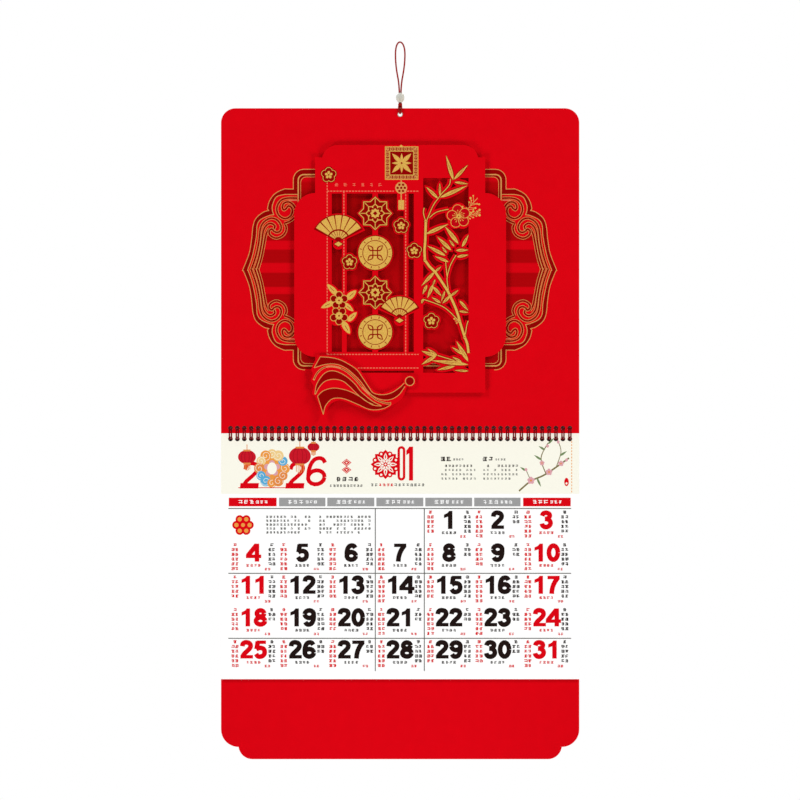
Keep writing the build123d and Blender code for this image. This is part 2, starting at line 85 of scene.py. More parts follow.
# The cord, its bead and its hitch, in millimetres. The route is the CAD source's, with its waist and its top
# moved to follow the photograph
CORD_ROUTE = [
    (-0.95, -75.0), (-0.5, -54.5), (-5.1, -31.0), (-6.0, -11.0), (-4.1, -1.9), (-0.2, 1.5),
    (4.0, -2.1), (6.2, -11.5), (5.1, -31.0), (0.5, -54.5), (0.95, -75.0),
]
CORD_WIDTH, CORD_LENGTH, HITCH_WIDTH = 1.96, 156.7, 1.6
HITCH_ROUTE = [
    (-0.9, -0.2, -73.8), (-1.5, -1.1, -76.6), (-2.0, -2.05, -79.3), (-1.7, -2.15, -81.6),
    (-0.9, -2.15, -84.6), (-0.45, -1.2, -86.6), (-0.45, 1.2, -86.6), (-0.9, 2.15, -84.6),
    (-1.1, 2.15, -81.4), (-0.7, 1.4, -78.6), (-0.4, 0.5, -76.4),
]
HITCH_TURN, HITCH_TURN_Z, HITCH_DEGREES_PER_MM = 1.75, -74.9, 450
EYELET_INSIDE, EYELET_GAP, EYELET_PROUD, EYELET_EDGE = 4.6, 0.03, 0.1, 0.08
BEAD_Z, BEAD_WIDTH, BEAD_HEIGHT, BEAD_BORE, BEAD_SLACK, BEAD_RIM = -67.2, 10.2, 12.6, 3.8, 0.12, 0.4
BEAD_STEPS, BEAD_TURNS = 24, 40

# How far a foil or ink layer stands off its board, in front and behind
FOIL, FOIL_GAP = 0.03, 0.004


def at(px, py):
    """Millimetres (x, z) of a pixel of the photograph."""
    return ((px - ORIGIN_PX[0]) * PIXEL, (ORIGIN_PX[1] - py) * PIXEL)


def all_at(pixels):
    return [at(px, py) for px, py in pixels]


# Flat geometry, in millimetres in the XZ plane


def ellipse(x, z, across, up, angles):
    """Points on an ellipse, at angles in degrees from +X towards +Z."""
    return [(x + across * math.cos(math.radians(a)), z + up * math.sin(math.radians(a))) for a in angles]


def arc(x, z, radius, start, stop, steps=10):
    return ellipse(x, z, radius, radius, [start + (stop - start) * i / steps for i in range(steps + 1)])


def circle(x, z, radius, steps=24):
    return arc(x, z, radius, 0, 360, steps)[:-1]


def box(x0, z0, x1, z1):
    return [(x0, z0), (x1, z0), (x1, z1), (x0, z1)]


def smooth(points, steps=5):
    """A smooth line through the points."""
    ends = [points[0]] + list(points) + [points[-1]]
    line = []
    for four in zip(ends, ends[1:], ends[2:], ends[3:]):
        for i in range(steps):
            t = i / steps
            line.append(tuple(
                0.5 * (2 * q + (r - p) * t + (2 * p - 5 * q + 4 * r - s) * t * t
                       + (3 * q - p - 3 * r + s) * t ** 3)
                for p, q, r, s in zip(*four)))
    return line + [tuple(points[-1])]


def mirrored(points, x=None, z=None):
    """The points mirrored left to right about x, or top to bottom about z."""
    if x is not None:
        points = [(2 * x - a, b) for a, b in points]
    if z is not None:
        points = [(a, 2 * z - b) for a, b in points]
    return points


def turned(points, degrees, centre=(0, 0)):
    c, s = math.cos(math.radians(degrees)), math.sin(math.radians(degrees))
    return [(centre[0] + (x * c - z * s), centre[1] + (x * s + z * c)) for x, z in points]


def around(centre, reach, count, turn=0.0):
    """Points evenly spaced on a circle."""
    return [turned([(reach, 0)], turn + 360 / count * k, centre)[0] for k in range(count)]


def square(x, z, half):
    return box(x - half, z - half, x + half, z + half)


def sides(line, width, closed):
    """The left and right edges of a band of this width along a line."""
    count = len(line)
    left, right = [], []
    for i, point in enumerate(line):
        p = Vector(point)
        before = Vector(line[i - 1]) if i or closed else None
        after = Vector(line[(i + 1) % count]) if i < count - 1 or closed else None
        normals = []
        for a, b in ((before, p), (p, after)):
            if a is not None and b is not None and (b - a).length > 1e-6:
                d = (b - a).normalized()
                normals.append(Vector((-d.y, d.x)))
        n = sum(normals, Vector((0, 0))) / len(normals)
        n = n / max(n.dot(n), 0.3)
        left.append(p + n * width / 2)
        right.append(p - n * width / 2)
    return left, right


def lens(base, tip, width, grow=0.0, fullness=1.0):
    """A pointed leaf from base to tip, with grow added all round; a fullness under 1 rounds it out."""
    b, t = Vector(base), Vector(tip)
    d = (t - b).normalized()
    n = Vector((-d.y, d.x))
    b, t = b - d * grow, t + d * grow
    upper, lower = [], []
    for i in range(11):
        s = i / 10
        half = width / 2 * abs(math.sin(math.pi * s ** 0.75)) ** fullness + grow * min(1.0, 4 * min(s, 1 - s))
        upper.append(b + (t - b) * s + n * half)
        lower.append(b + (t - b) * s - n * half)
    return [tuple(p) for p in lower + upper[-2:0:-1]]


class Flatwork:
    """Flat shapes of several layers. Within a layer, a later shape covers an earlier one."""

    def __init__(self):
        self.points, self.faces, self.marks = [], [], []

    def fill(self, layer, value, outline):
        clean = [Vector(p) for p in outline]
        clean = [p for i, p in enumerate(clean) if (p - clean[i - 1]).length > 1e-3]
        area = sum(a.x * b.y - b.x * a.y for a, b in zip(clean, clean[1:] + clean[:1]))
        if len(clean) < 3 or abs(area) < 1e-4:
            return
        if area < 0:
            clean.reverse()
        first = len(self.points)
        self.points += clean
        self.faces.append(list(range(first, first + len(clean))))
        self.marks.append((layer, value))

    def card(self, outline, kept=True):
        self.fill("card", kept, outline)

    def ink(self, ink, outline):
        self.fill("ink", ink, outline)

    def dot(self, ink, centre, radius, steps=12):
        self.fill("ink", ink, circle(*centre, radius, steps))

    def line(self, ink, line, width, closed=False):
        self.stroke("ink", ink, line, width, closed)

    def stroke(self, layer, value, line, width, closed=False):
        left, right = sides(line, width, closed)
        for i in range(len(line) - (0 if closed else 1)):
            j = (i + 1) % len(line)
            self.fill(layer, value, [right[i], right[j], left[j]])
            self.fill(layer, value, [right[i], left[j], left[i]])

    def band(self, layer, value, first, second):
        """The area between two lines, in thin strips from end to end."""
        count = max(len(first), len(second))
        rows = []
        for line in (first, second):
            rows.append([line[round(i * (len(line) - 1) / (count - 1))] for i in range(count)])
        for i in range(count - 1):
            self.fill(layer, value, [rows[0][i], rows[0][i + 1], rows[1][i + 1]])
            self.fill(layer, value, [rows[0][i], rows[1][i + 1], rows[1][i]])

    def regions(self):
        """All points, and each small face with the value that every layer has there."""
        points, _, faces, _, _, sources = delaunay_2d_cdt(self.points, [], self.faces, 0, 1e-4)
        found = []
        for face, source in zip(faces, sources):
            state = {}
            for index in sorted(source):
                state[self.marks[index][0]] = self.marks[index][1]
            found.append((face, state))
        return points, found


def solid_mesh(name, points, faces, front, back, edge=0.0):
    """A mesh of flat faces, made solid from front to back along Y, with chamfered rims."""
    rim = set()
    for face in faces:
        for a, b in zip(face, face[1:] + face[:1]):
            if (b, a) in rim:
                rim.discard((b, a))
            else:
                rim.add((a, b))
    inward = {}
    for a, b in rim:
        d = (points[b] - points[a]).normalized()
        for i in (a, b):
            inward.setdefault(i, []).append(Vector((-d.y, d.x)))
    verts, index = [], {}

    def vert(i, y, moved):
        key = (i, y, moved)
        if key not in index:
            p = points[i]
            if moved and i in inward:
                n = sum(inward[i], Vector((0, 0))) / len(inward[i])
                p = p + n / max(n.dot(n), 0.3) * edge
            index[key] = len(verts)
            verts.append((p.x * MM, y * MM, p.y * MM))
        return index[key]

    moved = edge > 0
    polygons = [[vert(i, front, moved) for i in face] for face in faces]
    polygons += [[vert(i, back, moved) for i in reversed(face)] for face in faces]
    for a, b in rim:
        levels = [(front, moved), (front + edge, False), (back - edge, False), (back, moved)]
        levels = levels if moved else [(front, False), (back, False)]
        for (y0, m0), (y1, m1) in zip(levels, levels[1:]):
            polygons.append([vert(b, y0, m0), vert(a, y0, m0), vert(a, y1, m1), vert(b, y1, m1)])
    mesh = bpy.data.meshes.new(name)
    mesh.from_pydata(verts, [], polygons)
    mesh.update()
    return mesh


def place(name, data, material, body, replaces=None):
    """Puts mesh or curve data in the scene as a piece that rides on a body."""
    piece = bpy.data.objects.new(name, data)
    bpy.context.scene.collection.objects.link(piece)
    data.materials.append(material)
    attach(piece, body)
    if replaces:
        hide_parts(replaces)
    return piece


# Materials


class Shader:
    """A Principled material with helpers for its nodes."""

    def __init__(self, name, colour, rough, specular=0.25, metallic=0.0):
        self.material = bpy.data.materials.new(name)
        self.material.use_nodes = True
        self.tree = self.material.node_tree
        self.bsdf = self.tree.nodes["Principled BSDF"]
        self.bsdf.inputs["Base Color"].default_value = (*colour, 1)
        self.bsdf.inputs["Roughness"].default_value = rough
        self.bsdf.inputs["Specular IOR Level"].default_value = specular
        self.bsdf.inputs["Metallic"].default_value = metallic
        self.place = self.tree.nodes.new("ShaderNodeTexCoord").outputs["Object"]

    def node(self, kind, **values):
        node = self.tree.nodes.new(kind)
        for key, value in values.items():
            setattr(node, key, value)
        return node

    def join(self, output, target):
        self.tree.links.new(output, target)

    def noise(self, scale, detail=3.0, stretch=(1, 1, 1)):
        mapping = self.node("ShaderNodeMapping")
        mapping.inputs["Scale"].default_value = stretch
        noise = self.node("ShaderNodeTexNoise")
        noise.inputs["Scale"].default_value = scale
        noise.inputs["Detail"].default_value = detail
        self.join(self.place, mapping.inputs["Vector"])
        self.join(mapping.outputs["Vector"], noise.inputs["Vector"])
        return noise.outputs["Fac"]

    def ramp(self, factor, stops):
        """Colours, or greys, over a factor from 0 to 1."""
        ramp = self.node("ShaderNodeValToRGB")
        elements = ramp.color_ramp.elements
        while len(elements) < len(stops):
            elements.new(0.5)
        for element, (position, colour) in zip(elements, stops):
            element.position = position
            element.color = (*colour, 1) if isinstance(colour, tuple) else (colour, colour, colour, 1)
        self.join(factor, ramp.inputs["Fac"])
        return ramp.outputs["Color"]

    def bump(self, height, strength, distance):
        bump = self.node("ShaderNodeBump")
        bump.inputs["Strength"].default_value = strength
        bump.inputs["Distance"].default_value = distance
        self.join(height, bump.inputs["Height"])
        self.join(bump.outputs["Normal"], self.bsdf.inputs["Normal"])

    def colour(self, output):
        self.join(output, self.bsdf.inputs["Base Color"])

    def roughness(self, output):
        self.join(output, self.bsdf.inputs["Roughness"])


def shaded(colour, factor):
    return tuple(c * factor for c in colour)


def surface(name, colour, basics, mottle, gloss, bump, edges=(0.3, 0.7)):
    """A material whose colour, roughness and height each follow a noise of this scale and detail."""
    shader = Shader(name, colour, *basics)
    scale, detail, low, high = mottle
    tones = [(edges[0], shaded(colour, low)), (edges[1], shaded(colour, high))]
    shader.colour(shader.ramp(shader.noise(scale, detail), tones))
    if gloss:
        scale, detail, low, high = gloss
        shader.roughness(shader.ramp(shader.noise(scale, detail), [(0.3, low), (0.7, high)]))
    scale, detail, strength, distance = bump
    shader.bump(shader.noise(scale, detail), strength, distance)
    return shader.material


def coated_board(name, colour):
    """Laminated board: an even colour with a faint fibre mottle under a satin film."""
    return surface(name, colour, (0.42, 0.035), (60, 5, 0.975, 1.02), (220, 4, 0.38, 0.5),
                   (1500, 2, 0.06, 0.0002))


def printed_ink(name, colour, rough=0.5):
    """Ink on paper, with the small uneven coverage of an offset print."""
    return surface(name, colour, (rough, 0.03), (900, 2, 0.94, 1.04), None, (1800, 2, 0.1, 0.0001))


def stamped_foil(name, colour):
    """Hot-stamped gold foil: a soft metal with the grain of the board under it."""
    return surface(name, colour, (0.42, 0.3, 0.12), (700, 4, 0.82, 1.12), (260, 3, 0.34, 0.52),
                   (1600, 3, 0.35, 0.0002))


def coated_wire():
    """Nylon-coated steel, a little darker in its worn patches."""
    return surface("wire_coating_look", (0.15, 0.001, 0.003), (0.6, 0.03), (300, 3, 0.7, 1.2),
                   (900, 2, 0.52, 0.66), (2500, 2, 0.1, 0.0001), (0.35, 0.65))


def ruled_ground(name, axis, bands, line_pitch, line_share):
    """The medallion's ground: bands of red from foot to top, with hair lines across one axis."""
    shader = Shader(name, (0.4, 0.0003, 0.002), 0.5, 0.03)
    split = shader.node("ShaderNodeSeparateXYZ")
    shader.join(shader.place, split.inputs["Vector"])
    band = shader.node("ShaderNodeMapRange")
    band.inputs["From Min"].default_value = FIELD_FOOT * MM
    band.inputs["From Max"].default_value = FIELD_TOP * MM
    shader.join(split.outputs["Z"], band.inputs["Value"])
    tones = shader.ramp(band.outputs["Result"], bands)
    turns = shader.node("ShaderNodeMath", operation="MULTIPLY")
    turns.inputs[1].default_value = 2 * math.pi / (line_pitch * MM)
    lines = shader.node("ShaderNodeMath", operation="SINE")
    shader.join(split.outputs[axis], turns.inputs[0])
    shader.join(turns.outputs["Value"], lines.inputs[0])
    lined = shader.ramp(lines.outputs["Value"], [(0.0, 1.0), (0.8, line_share)])
    mix = shader.node("ShaderNodeMix", data_type="RGBA", blend_type="MULTIPLY")
    mix.inputs["Factor"].default_value = 1.0
    shader.join(tones, mix.inputs["A"])
    shader.join(lined, mix.inputs["B"])
    shader.colour(mix.outputs["Result"])
    shader.bump(shader.noise(1500, 2), 0.12, 0.0002)
    return shader.material


def paper(name, colour):
    shader = Shader(name, colour, 0.7, 0.15)
    fibre = shader.noise(420, 5, (1, 1, 2.2))
    shader.colour(shader.ramp(fibre, [(0.3, shaded(colour, 0.985)), (0.7, shaded(colour, 1.005))]))
    shader.roughness(shader.ramp(shader.noise(120, 3), [(0.3, 0.62), (0.7, 0.78)]))
    shader.bump(fibre, 0.15, 0.0001)
    return shader.material


def twisted_cord():
    """Spun red cord: slanted strands with dark gaps and loose fibre; the dark gaps are painted shade between
    the strands.
    """
    shader = Shader("cord_look", (0.22, 0.008, 0.006), 0.85, 0.05)
    slant = shader.node("ShaderNodeMapping")
    slant.inputs["Rotation"].default_value = (0, math.radians(38), 0)
    wave = shader.node("ShaderNodeTexWave", wave_type="BANDS", bands_direction="Z")
    wave.inputs["Scale"].default_value = 330
    wave.inputs["Distortion"].default_value = 1.2
    wave.inputs["Detail"].default_value = 2
    shader.join(shader.place, slant.inputs["Vector"])
    shader.join(slant.outputs["Vector"], wave.inputs["Vector"])
    # Painted shade: the wave's low end darkens the gaps between the strands
    shader.colour(shader.ramp(wave.outputs["Fac"], [(0.1, (0.16, 0.004, 0.003)), (0.6, (0.43, 0.014, 0.01))]))
    shader.bump(wave.outputs["Fac"], 0.7, 0.0004)
    return shader.material


def pearl():
    shader = Shader("pearl_look", (0.55, 0.53, 0.45), 0.5, 0.3)
    tint = [(0.3, (0.47, 0.43, 0.34)), (0.5, (0.58, 0.56, 0.48)), (0.72, (0.54, 0.55, 0.51))]
    shader.colour(shader.ramp(shader.noise(130, 3), tint))
    shader.roughness(shader.ramp(shader.noise(400, 3), [(0.3, 0.44), (0.7, 0.56)]))
    shader.bump(shader.noise(500, 2), 0.08, 0.0002)
    return shader.material


# The medallion's ruled ground, in millimetres, with its tones from the foot up
FIELD_TOP, FIELD_FOOT = -160.0, -397.0
FIELD_LINE_PITCH, WELL_LINE_PITCH = 1.7, 1.5
FIELD_MID, FIELD_BRIGHT = (0.42, 0.0003, 0.002), (0.68, 0.0003, 0.005)
FIELD_EDGES, FIELD_BLUR = [0.378, 0.414, 0.488, 0.538, 0.607, 0.653], 0.003
FIELD_BANDS = [(0.0, FIELD_MID)]
for edge, tones in zip(FIELD_EDGES, ((FIELD_MID, FIELD_BRIGHT), (FIELD_BRIGHT, FIELD_MID)) * 3):
    FIELD_BANDS += [(edge - FIELD_BLUR, tones[0]), (edge + FIELD_BLUR, tones[1])]
# The well's tones are partly print and partly painted shade under the plaque, darkest just under the tops of
# the plaque's windows
WELL_TONES_AND_SHADE = [(0.0, (0.4, 0.0003, 0.002)), (0.16, (0.5, 0.0003, 0.003)), (0.32, (0.56, 0.0003, 0.003)),
              (0.5, (0.42, 0.0003, 0.002)), (0.88, (0.35, 0.0003, 0.001)), (0.91, (0.47, 0.0003, 0.002)),
              (0.95, (0.47, 0.0003, 0.002)), (0.966, (0.64, 0.0003, 0.005)), (1.0, (0.67, 0.0003, 0.005))]

RED = (0.68, 0.0003, 0.005)
# The page's inks. White is bare paper
INK_COLOURS = {
    "red": (0.68, 0.001, 0.006), "grey": (0.33, 0.33, 0.33), "black": (0.014, 0.007, 0.006),
    "line": (0.1, 0.1, 0.09), "orange": (0.75, 0.25, 0.06), "white": None, "cyan": (0.1, 0.4, 0.66),
    "amber": (0.82, 0.32, 0.06), "pink": (0.7, 0.36, 0.4), "olive": (0.2, 0.16, 0.06),
    "leaf": (0.16, 0.24, 0.1), "straw": (0.84, 0.6, 0.26), "lantern": (0.56, 0.008, 0.02),
    "rib": (0.34, 0.004, 0.012),
}

header_look, plaque_look, ribbon_look, back_look = [
    coated_board(name, RED) for name in ("header_look", "plaque_look", "ribbon_look", "back_look")]
# Painted shade: a grey and a dark sheet go behind the hole rows, where the holes lie in shade
shade_sheet_look = coated_board("shade_sheet_look", (0.2, 0.155, 0.155))
dark_shade_sheet_look = coated_board("dark_shade_sheet_look", (0.05, 0.036, 0.036))
eyelet_look = coated_board("eyelet_look", (0.42, 0.43, 0.38))
core_look = coated_board("core_look", (0.13, 0.13, 0.125))
wire_look = coated_wire()
cord_look = twisted_cord()
pearl_look = pearl()
page_look = paper("page_look", (0.985, 0.985, 0.98))
card_inks = {
    "gold": stamped_foil("gold_foil", (0.78, 0.46, 0.085)),
    "line": stamped_foil("line_foil", (0.76, 0.34, 0.09)),
    "dark": printed_ink("dark_print", (0.27, 0.0003, 0.0005), 0.45),
    "rose": printed_ink("rose_print", (0.5, 0.001, 0.006), 0.45),
    "salmon": printed_ink("salmon_print", (0.8, 0.19, 0.11), 0.45),
}
# The medallion's gold is the thin lines' foil
header_inks = {
    **card_inks, "gold": card_inks["line"],
    "field": ruled_ground("field_print", "Z", FIELD_BANDS, FIELD_LINE_PITCH, 0.87),
    "well": ruled_ground("well_print_and_shade", "X", WELL_TONES_AND_SHADE, WELL_LINE_PITCH, 0.8),
}
page_inks = {"cream": paper("cream_print", (0.93, 0.915, 0.8))}
for ink, colour in INK_COLOURS.items():
    page_inks[ink] = printed_ink(ink + "_ink", colour) if colour else page_look


# Camera


def build_camera():
    """Straight in front of the calendar, far away, with the photograph's frame."""
    lens_mm, sensor_mm = 600.0, 36.0
    width = PHOTO_PX * PIXEL * MM
    camera = bpy.data.objects.new("camera", bpy.data.cameras.new("camera"))
    bpy.context.scene.collection.objects.link(camera)
    camera.data.lens = lens_mm
    camera.data.sensor_width = sensor_mm
    centre = at(PHOTO_PX / 2, PHOTO_PX / 2)
    camera.location = (centre[0] * MM, -width * lens_mm / sensor_mm, centre[1] * MM)
    camera.rotation_euler = (math.radians(90), 0, 0)
    bpy.context.scene.camera = camera


build_camera()


# Cord group


def tube(name, radius, routes, kind="NURBS", bevel=3, steps=14):
    """A round tube along each route of points in millimetres."""
    curve = bpy.data.curves.new(name, "CURVE")
    curve.dimensions = "3D"
    curve.bevel_depth = radius * MM
    curve.bevel_resolution = bevel
    curve.resolution_u = steps
    for route in routes:
        spline = curve.splines.new(kind)
        spline.points.add(len(route) - 1)
        for point, (x, y, z) in zip(spline.points, route):
            point.co = (x * MM, y * MM, z * MM, 1)
        if kind == "NURBS":
            spline.order_u = 3
            spline.use_endpoint_u = True
        else:
            spline.use_smooth = True
    return curve


def build_bead():
    """A pearl turned round its bore, with rounded rims where the cord passes."""
    start = math.degrees(math.asin(BEAD_BORE / BEAD_WIDTH))
    profile = []
    for i in range(BEAD_STEPS + 1):
        angle = math.radians(start + (180 - 2 * start) * i / BEAD_STEPS)
        profile.append((BEAD_WIDTH / 2 * math.sin(angle), BEAD_Z + BEAD_HEIGHT / 2 * math.cos(angle)))
    half_bore = BEAD_HEIGHT / 2 * math.cos(math.radians(start))
    bore = BEAD_BORE / 2 - BEAD_SLACK
    profile += [(bore, BEAD_Z - half_bore + BEAD_RIM), (bore, BEAD_Z + half_bore - BEAD_RIM)]
    verts = []
    for k in range(BEAD_TURNS):
        c, s = math.cos(2 * math.pi * k / BEAD_TURNS), math.sin(2 * math.pi * k / BEAD_TURNS)
        verts += [(r * c * MM, r * s * MM, z * MM) for r, z in profile]
    rows = len(profile)
    faces = []
    for k in range(BEAD_TURNS):
        a, b = k * rows, (k + 1) % BEAD_TURNS * rows
        for i in range(rows):
            j = (i + 1) % rows
            faces.append([a + i, a + j, b + j, b + i])
    mesh = bpy.data.meshes.new("pearl")
    mesh.from_pydata(verts, [], faces)
    mesh.shade_smooth()
    return place("pearl", mesh, pearl_look, "header", "pearl_bead")


def build_hitch():
    """The hitch: two strands down through the hang hole, and a wound knot above the board."""
    right = [(-x, y, z) for x, y, z in HITCH_ROUTE]
    angles = range(0, 721, 30)
    turn = [(x, y, HITCH_TURN_Z - a / HITCH_DEGREES_PER_MM)
            for a, (x, y) in zip(angles, ellipse(0, 0, HITCH_TURN, HITCH_TURN, angles))]
    curve = tube("hitch", HITCH_WIDTH / 2, (HITCH_ROUTE, right, turn), steps=6)
    return place("hitch", curve, cord_look, "header", "cord_knot")


loop = tube("cord_loop", CORD_WIDTH / 2, [[(x, 0, z) for x, z in CORD_ROUTE]])
cord = place("cord_loop", loop, cord_look, "header", "hanging_cord")
bead = build_bead()
hitch = build_hitch()


# Boards and pages


def loop_places():
    return [(i - (LOOPS - 1) / 2) * LOOP_PITCH for i in range(LOOPS)]


def hole_row(z, radius=HOLE_WIDTH / 2, steps=16):
    return [circle(x, z, radius, steps) for x in loop_places()]


def card_mesh(name, work, front, back, edge=0.0):
    """The solid of the work's card."""
    points, regions = work.regions()
    return solid_mesh(name, points, [f for f, state in regions if state.get("card")], front, back, edge)


def cut_board(name, outline, holes, front, back, edge=0.0):
    work = Flatwork()
    work.card(outline)
    for hole in holes:
        work.card(hole, False)
    return card_mesh(name, work, front, back, edge)


def build_header():
    corner_x, corner_z = HALF_WIDTH - HEADER_CORNER, HEADER_TOP - HEADER_CORNER
    outline = arc(corner_x, corner_z, HEADER_CORNER, 0, 90) + arc(-corner_x, corner_z, HEADER_CORNER, 90, 180)
    outline += [(-HALF_WIDTH, HEADER_FOOT), (HALF_WIDTH, HEADER_FOOT)]
    holes = hole_row(HEADER_HOLES_Z) + [circle(0, HANG_HOLE_Z, HANG_HOLE_WIDTH / 2, 28)]
    mesh = cut_board("header_card", outline, holes, HEADER_FRONT, HEADER_BACK, CHAMFER)
    place("header_card", mesh, header_look, "header", "header_board")
    rim, hole = [circle(0, HANG_HOLE_Z, radius, 28)
                 for radius in (HANG_HOLE_WIDTH / 2 - EYELET_GAP, EYELET_INSIDE / 2)]
    eyelet = cut_board("hang_eyelet", rim, [hole], HEADER_FRONT - EYELET_PROUD, HEADER_BACK + EYELET_PROUD,
                       EYELET_EDGE)
    place("hang_eyelet", eyelet, eyelet_look, "header")


def build_back():
    outline = [(HALF_WIDTH, BACK_TOP), (-HALF_WIDTH, BACK_TOP)]
    corner = arc(*BACK_CORNER) + arc(*BACK_CORNER_STEP)
    outline += corner + mirrored(corner[::-1], x=0)
    mesh = cut_board("back_card", outline, hole_row(PAGE_HOLES_Z), BACK_FRONT, BACK_REAR, CHAMFER)
    place("back_card", mesh, back_look, "back", "back_board")


def build_pages():
    """Twelve month leaves, all but the first a hair short at random, as a worn pad shows."""
    random.seed(4)
    pitch = (PAGE_BACK - PAGE_FRONT) / LEAVES
    verts, polygons = [], []
    for leaf in range(LEAVES):
        short = 0 if leaf == 0 else random.uniform(0.0, 0.25)
        outline = box(-HALF_WIDTH + short, PAGE_FOOT + short, HALF_WIDTH - short, PAGE_TOP)
        front = PAGE_FRONT + leaf * pitch
        holes = hole_row(PAGE_HOLES_Z, steps=12)
        mesh = cut_board("leaf", outline, holes, front, front + pitch * LEAF_FULLNESS)
        first = len(verts)
        verts += [tuple(v.co) for v in mesh.vertices]
        polygons += [[first + i for i in p.vertices] for p in mesh.polygons]
        bpy.data.meshes.remove(mesh)
    mesh = bpy.data.meshes.new("month_leaves")
    mesh.from_pydata(verts, [], polygons)
    place("month_leaves", mesh, page_look, "pages", "page_block")


build_header()
build_back()
build_pages()


def build_wire():
    """One wire: for each loop up the near strand, round its tip and back down the far strand."""
    route = []
    ring = [math.radians(a) for a in range(*RING_DEGREES)]
    for x in loop_places():
        for side, angles in ((-TWIN_OFFSET, ring), (TWIN_OFFSET, ring[::-1])):
            for angle in angles:
                opening = min(1.0, (2 * math.pi - angle) / CLOSING_ANGLE)
                route.append((x + side * (CLOSED_SHARE + OPEN_SHARE * opening),
                              RING_Y + RING_RADIUS * math.cos(angle), RING_Z - RING_RADIUS * math.sin(angle)))
            if side < 0:
                route.append((x, RING_Y + RING_RADIUS * RING_TIP[0], RING_Z + RING_RADIUS * RING_TIP[1]))
    curve = tube("binding_wire", WIRE_RADIUS, [route], "POLY", 2)
    wire = place("binding_wire", curve, wire_look, "header", "twin_loop_wire")
    # The photograph shows no shadow of the wire on the page
    wire.visible_shadow = False


build_wire()


def place_art(name, work, inks, front, body, clip=True):
    """Makes one thin piece of each ink of the artwork, on the card's face at this depth."""
    points, regions = work.regions()
    for ink, material in inks.items():
        faces = [f for f, state in regions if state.get("ink") == ink and (not clip or state.get("card"))]
        if faces:
            mesh = solid_mesh(name + "_" + ink, points, faces, front - FOIL, front - FOIL_GAP)
            place(name + "_" + ink, mesh, material, body)


def bar(work, ink, x0, y0, x1, y1):
    """A rectangle between two pixels of the photograph."""
    work.ink(ink, box(*at(x0, y1), *at(x1, y0)))


def mark(work, ink, x, y, size, draw, weight=0.21):
    """A block of short bars that looks like small print from a step away and says nothing."""
    rows = draw.choice((2, 3, 3))
    thick = size * weight
    for k in range(rows):
        top = y + size * (k + 0.1) / rows
        left = x + draw.uniform(0, 0.25) * size
        bar(work, ink, left, top, x + draw.uniform(0.7, 1.0) * size, top + thick)
    for _ in range(draw.choice((1, 1, 2))):
        left = x + draw.uniform(0.1, 0.8) * size
        bar(work, ink, left, y + draw.uniform(0, 0.3) * size, left + thick, y + draw.uniform(0.7, 1.0) * size)


def marks(work, ink, x, y, count, step, size, draw, weight=0.21, share=None):
    """A line of such blocks, or of a share of them, drawn at random."""
    for k in range(count):
        if share is None or draw.random() < share:
            mark(work, ink, x + k * step, y, size, draw, weight)


# The medallion printed on the header, in pixels of the photograph, its upper left quarter

MEDALLION_X, MEDALLION_Y, PANEL_Y = 399.65, 269.55, 270.25
CONTOUR_WIDTH, ROPE_WIDTH, ROPE_EDGE, PANEL_WIDTH, PANEL_INNER_WIDTH = 0.8, 3.3, 0.5, 1.5, 0.6
PANEL_INSET = 0.9755
GLINT_PX = (288.6, 200.8, 297.0, 199.9)
# The outer contour leaves its foot open between the corners
OPEN_FOOT_PX = (305.0, 369.1, 494.3, 370.6)
# Each contour: its corner, the radius there, where its shoulder ends, its cusp and its wing
OUTER_CONTOUR_PX = (
    (293.3, 169.3), 10.5, 189.1,
    [(287.0, 189.0), (283.5, 189.3), (275.0, 193.7), (269.5, 201.0), (267.4, 208.8)],
    [(268.8, 210.5), (263.2, 212.3), (256.1, 218.2), (253.0, 226.3), (251.6, 239.6), (249.1, 253.7),
     (242.5, 270.5)],
)
INNER_CONTOUR_PX = (
    (298.2, 174.6), 5.6, 194.4,
    [(285.0, 194.4), (276.5, 196.8), (272.6, 204.6), (272.3, 210.2), (273.7, 214.7)],
    [(270.2, 215.1), (261.0, 219.3), (257.2, 225.0), (256.5, 234.7), (254.6, 246.0), (251.6, 258.7),
     (247.4, 270.5)],
)
FIELD_PX = [(297.2, 217.0), (293.3, 219.3), (284.0, 222.5), (286.0, 228.0), (283.5, 234.7), (276.5, 238.2),
            (268.0, 236.0), (265.0, 243.0), (263.0, 256.0), (258.6, 270.5)]
BUNDLE_PX = [(250.9, 270.5), (255.6, 257.0), (258.7, 243.0), (260.4, 229.0), (263.9, 222.0), (270.9, 218.2),
             (277.4, 220.2), (281.2, 226.3), (280.0, 231.2), (276.2, 232.4), (273.6, 230.3)]
BUNDLE_TWO_PX = [(254.6, 270.5), (258.9, 257.0), (261.6, 243.0), (263.3, 231.0), (266.6, 225.2),
                 (271.0, 223.4), (274.8, 226.0), (273.9, 229.4)]
BUNDLE_THREE_PX = [(257.6, 270.5), (261.6, 257.0), (264.3, 243.0), (266.2, 234.0), (269.4, 228.4)]
CURL_PX = [(284.6, 223.2), (286.3, 228.6), (283.5, 234.9), (276.5, 238.2), (270.4, 235.4), (269.2, 231.2),
           (271.9, 229.1), (273.9, 231.6)]
LINK_PX = [(284.6, 223.2), (290.0, 221.0), (294.6, 217.4), (297.6, 213.0)]
SPIRAL_PX = [(296.8, 198.2), (287.0, 198.2), (280.3, 201.0), (276.8, 208.0), (278.6, 215.0), (284.2, 218.6),
             (289.6, 216.9), (292.3, 212.3), (291.6, 207.8), (288.4, 206.0), (286.3, 208.4), (283.9, 209.9),
             (282.4, 207.6), (283.6, 203.6), (287.6, 201.9), (291.6, 203.4), (295.0, 207.6), (297.2, 211.6)]


